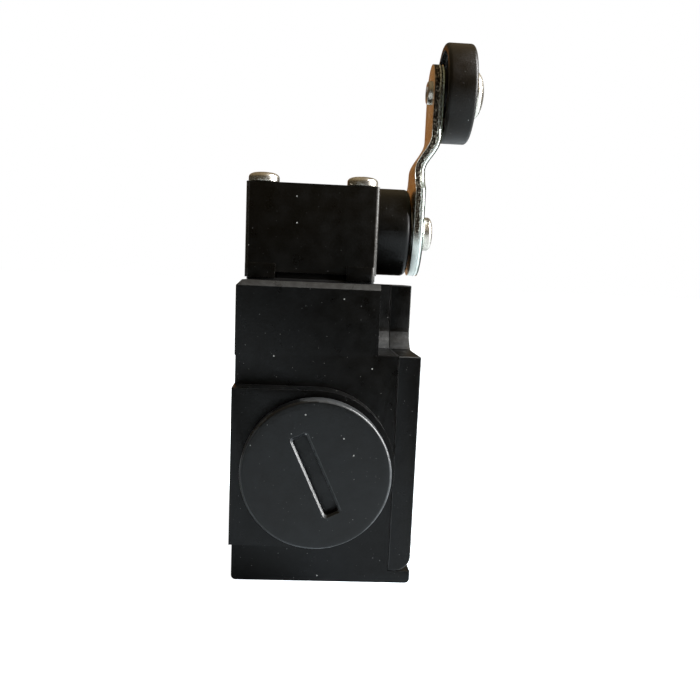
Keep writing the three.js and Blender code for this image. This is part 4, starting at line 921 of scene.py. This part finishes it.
lever_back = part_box("lever_arm")[1].y
for vert in bm.verts:
    x, height, depth = vert.co
    forward, slope = crank(height / MM)
    depth += LEVER_THICKNESS / 2 * MM
    stretch = math.sqrt(1 + slope * slope)
    vert.co = Vector((x, lever_back - forward * MM - depth * stretch, SHAFT.z + height))
bmesh.ops.recalc_face_normals(bm, faces=bm.faces)
lever_mesh = bpy.data.meshes.new("lever_arm_pressing")
bm.to_mesh(lever_mesh)
bm.free()
for name, values in (("through", through), ("rim", rim)):
    lever_mesh.attributes.new(name, "FLOAT", "CORNER").data.foreach_set("value", values)
lever_mesh.shade_smooth()
lever_mesh.set_sharp_from_angle(angle=math.radians(30))
lever = add_object("lever_arm_pressing", lever_mesh)
finish_piece(lever, "lever_arm")
print("lever", len(lever_mesh.polygons), "faces, crank", round(CRANK_OUT, 2), "mm")

# %% [markdown]
# ## Screws
# All the screws are one kind: a round head with a cross recess on a threaded shank. One screw is modelled in
# each size, and a Geometry Nodes tree sets a copy on each seat and gives each its own turn, because no two
# screws stop at the same angle. The tree takes the screw, its direction, the seed and the finish as inputs,
# so it serves every set.


# %% One screw
def screw_model(name, head, rise, shank, length):
    """Stands on its seat at 0 with the head up. Sizes are in millimetres."""
    pitch = max(0.5, shank * 0.36)
    depth = pitch * 0.5
    corners = [(0, -length), (shank - depth, -length)]
    foot = -length
    while foot + pitch < -pitch:
        corners += [
            (shank - depth, foot + pitch * 0.15), (shank, foot + pitch * 0.5),
            (shank - depth, foot + pitch * 0.85)]
        foot += pitch
    corners += [(shank - depth, -pitch), (shank, -pitch * 0.6), (shank, 0)]
    corners += [(head - 0.25, 0, 0.05), (head, 0.2, 0.15)]
    wall = rise * 0.5
    corners += [(head * math.cos(a) ** 0.55, wall + (rise - wall) * math.sin(a)) for a in (
        math.pi / 2 * k / 10 for k in range(10))]
    corners += [(0, rise)]
    screw = lathe(name, corners, (0, 0, 0), (0, 0, 1), steps=40)
    for turn in (0, math.pi / 2):
        arm = pad("arm", head * 0.3, head * 1.15, 0.12, rise * 0.4, rise + 1, turn)
        combine(screw, arm, "DIFFERENCE")
    screw.data.shade_smooth()
    screw.data.set_sharp_from_angle(angle=math.radians(38))
    return screw


# %% The tree that sets the screws
def screw_setter():
    tree = bpy.data.node_groups.new("set_screws", "GeometryNodeTree")
    face = tree.interface
    face.new_socket("Seats", in_out="INPUT", socket_type="NodeSocketGeometry")
    for title, kind in (
        ("Screw", "NodeSocketObject"), ("Direction", "NodeSocketVector"), ("Seed", "NodeSocketInt"),
        ("Finish", "NodeSocketMaterial"),
    ):
        face.new_socket(title, in_out="INPUT", socket_type=kind)
    face.new_socket("Screws", in_out="OUTPUT", socket_type="NodeSocketGeometry")
    add, link = tree.nodes.new, tree.links.new
    given, result = add("NodeGroupInput"), add("NodeGroupOutput")
    model = add("GeometryNodeObjectInfo")
    turn = add("FunctionNodeRandomValue")
    turn.inputs["Max"].default_value = math.tau
    spin = add("ShaderNodeCombineXYZ")
    place = add("GeometryNodeInstanceOnPoints")
    aim = add("FunctionNodeAlignEulerToVector")
    aim.axis = "Z"
    rotate = add("GeometryNodeRotateInstances")
    real = add("GeometryNodeRealizeInstances")
    paint = add("GeometryNodeSetMaterial")
    link(given.outputs["Screw"], model.inputs["Object"])
    link(given.outputs["Seats"], place.inputs["Points"])
    link(model.outputs["Geometry"], place.inputs["Instance"])
    link(given.outputs["Direction"], aim.inputs["Vector"])
    link(aim.outputs["Rotation"], place.inputs["Rotation"])
    link(given.outputs["Seed"], turn.inputs["Seed"])
    link(turn.outputs[1], spin.inputs["Z"])
    link(place.outputs["Instances"], rotate.inputs["Instances"])
    link(spin.outputs["Vector"], rotate.inputs["Rotation"])
    link(rotate.outputs["Instances"], real.inputs["Geometry"])
    link(real.outputs["Geometry"], paint.inputs["Geometry"])
    link(given.outputs["Finish"], paint.inputs["Material"])
    link(paint.outputs["Geometry"], result.inputs["Screws"])
    return tree


SET_SCREWS = screw_setter()


def run_tree(name, tree, inputs, seats=()):
    """Runs a tree on a mesh that holds only the seats, and turns its result into a plain mesh."""
    points = bpy.data.meshes.new(name)
    points.from_pydata([tuple(p) for p in seats], [], [])
    obj = add_object(name, points)
    modifier = obj.modifiers.new("nodes", "NODES")
    modifier.node_group = tree
    for item in tree.interface.items_tree:
        if item.in_out == "INPUT" and item.name in inputs:
            modifier[item.identifier] = inputs[item.name]
    bake_modifiers(obj)
    return obj


def set_screws(name, nodes, way, rise, shank, seed):
    """Models the screw in the size of the first node and sets one at each node's seat."""
    way = Vector(way)
    axis = max(range(3), key=lambda i: abs(way[i]))
    spread = size(nodes[0])
    head = max(spread[i] for i in range(3) if i != axis) / 2 / MM
    length = spread[axis] / MM - rise
    seats = []
    for node in nodes:
        seat = middle(node)
        seat[axis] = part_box(node)[1 if way[axis] > 0 else 0][axis] - way[axis] * rise * MM
        seats.append(seat)
    model = screw_model("screw", head, rise, shank, length)
    piece = run_tree(name, SET_SCREWS, {
        "Screw": model, "Direction": tuple(way), "Seed": seed, "Finish": FINISHES["screw_steel"]}, seats)
    bpy.data.objects.remove(model)
    finish_piece(piece, *nodes)
    print(name, len(nodes), "of", round(head * 2, 1), "x", round(length, 1), "mm")


set_screws("head_screws", [f"head_screw_{k}" for k in range(1, 5)], (0, 0, 1), 1.75, 1.5, 3)
set_screws("lever_eye_screw", ["lever_screw"], (0, -1, 0), 1.8, 2.0, 8)
set_screws("cover_fixing_screw", ["cover_screw"], (0, -1, 0), 1.5, 1.6, 5)
set_screws("block_screws", ["block_screw_1", "block_screw_2"], (0, -1, 0), 1.2, 1.2, 6)
set_screws(
    "terminal_screws", [n for n in NODES if n.startswith("terminal_screw")], (0, -1, 0), 1.3, 1.7, 11)

# %% [markdown]
# ## Springs
# Four coil springs make the switch return. A spring is a wire along a helix, so a small tree draws a Spiral
# curve and sweeps a circle along it. The two springs that the travel presses get a mesh of their own.


# %% The tree that winds a spring
def spring_winder():
    tree = bpy.data.node_groups.new("wind_spring", "GeometryNodeTree")
    face = tree.interface
    for title, kind in (
        ("Foot", "NodeSocketVector"), ("Radius", "NodeSocketFloat"), ("Height", "NodeSocketFloat"),
        ("Turns", "NodeSocketFloat"), ("Wire", "NodeSocketFloat"), ("Finish", "NodeSocketMaterial"),
    ):
        face.new_socket(title, in_out="INPUT", socket_type=kind)
    face.new_socket("Spring", in_out="OUTPUT", socket_type="NodeSocketGeometry")
    add, link = tree.nodes.new, tree.links.new
    given, result = add("NodeGroupInput"), add("NodeGroupOutput")
    helix = add("GeometryNodeCurveSpiral")
    helix.inputs["Resolution"].default_value = 32
    wire = add("GeometryNodeCurvePrimitiveCircle")
    wire.inputs["Resolution"].default_value = 10
    sweep = add("GeometryNodeCurveToMesh")
    sweep.inputs["Fill Caps"].default_value = True
    stand = add("GeometryNodeTransform")
    real = add("GeometryNodeRealizeInstances")
    paint = add("GeometryNodeSetMaterial")
    link(given.outputs["Turns"], helix.inputs["Rotations"])
    link(given.outputs["Radius"], helix.inputs["Start Radius"])
    link(given.outputs["Radius"], helix.inputs["End Radius"])
    link(given.outputs["Height"], helix.inputs["Height"])
    link(given.outputs["Wire"], wire.inputs["Radius"])
    link(helix.outputs["Curve"], sweep.inputs["Curve"])
    link(wire.outputs["Curve"], sweep.inputs["Profile Curve"])
    link(sweep.outputs["Mesh"], stand.inputs["Geometry"])
    link(given.outputs["Foot"], stand.inputs["Translation"])
    link(stand.outputs["Geometry"], real.inputs["Geometry"])
    link(real.outputs["Geometry"], paint.inputs["Geometry"])
    link(given.outputs["Finish"], paint.inputs["Material"])
    link(paint.outputs["Geometry"], result.inputs["Spring"])
    return tree


WIND_SPRING = spring_winder()
SPRINGS = {
    "return_spring": (0.45, 6.0),
    "plunger_spring": (0.3, 4.0),
    "contact_spring_upper": (0.2, 4.0),
    "contact_spring_lower": (0.2, 4.0),
}
PRESSED_BY = {"return_spring": "tappet_travel", "plunger_spring": "plunger_travel"}
for node, (wire_mm, turns) in SPRINGS.items():
    wire = wire_mm * MM
    spread = size(node)
    foot = Vector((middle(node).x, middle(node).y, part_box(node)[0].z + wire))
    spring = run_tree(f"{node}_wire", WIND_SPRING, {
        "Foot": tuple(foot), "Radius": max(spread.x, spread.y) / 2 - wire, "Height": spread.z - 2 * wire,
        "Turns": turns, "Wire": wire, "Finish": FINISHES["spring_steel"]})
    spring.data.shade_smooth()
    finish_piece(spring, node)
    if node in PRESSED_BY:
        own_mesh(spring)
    print(node, turns, "turns,", round(spread.z / MM, 1), "mm tall")
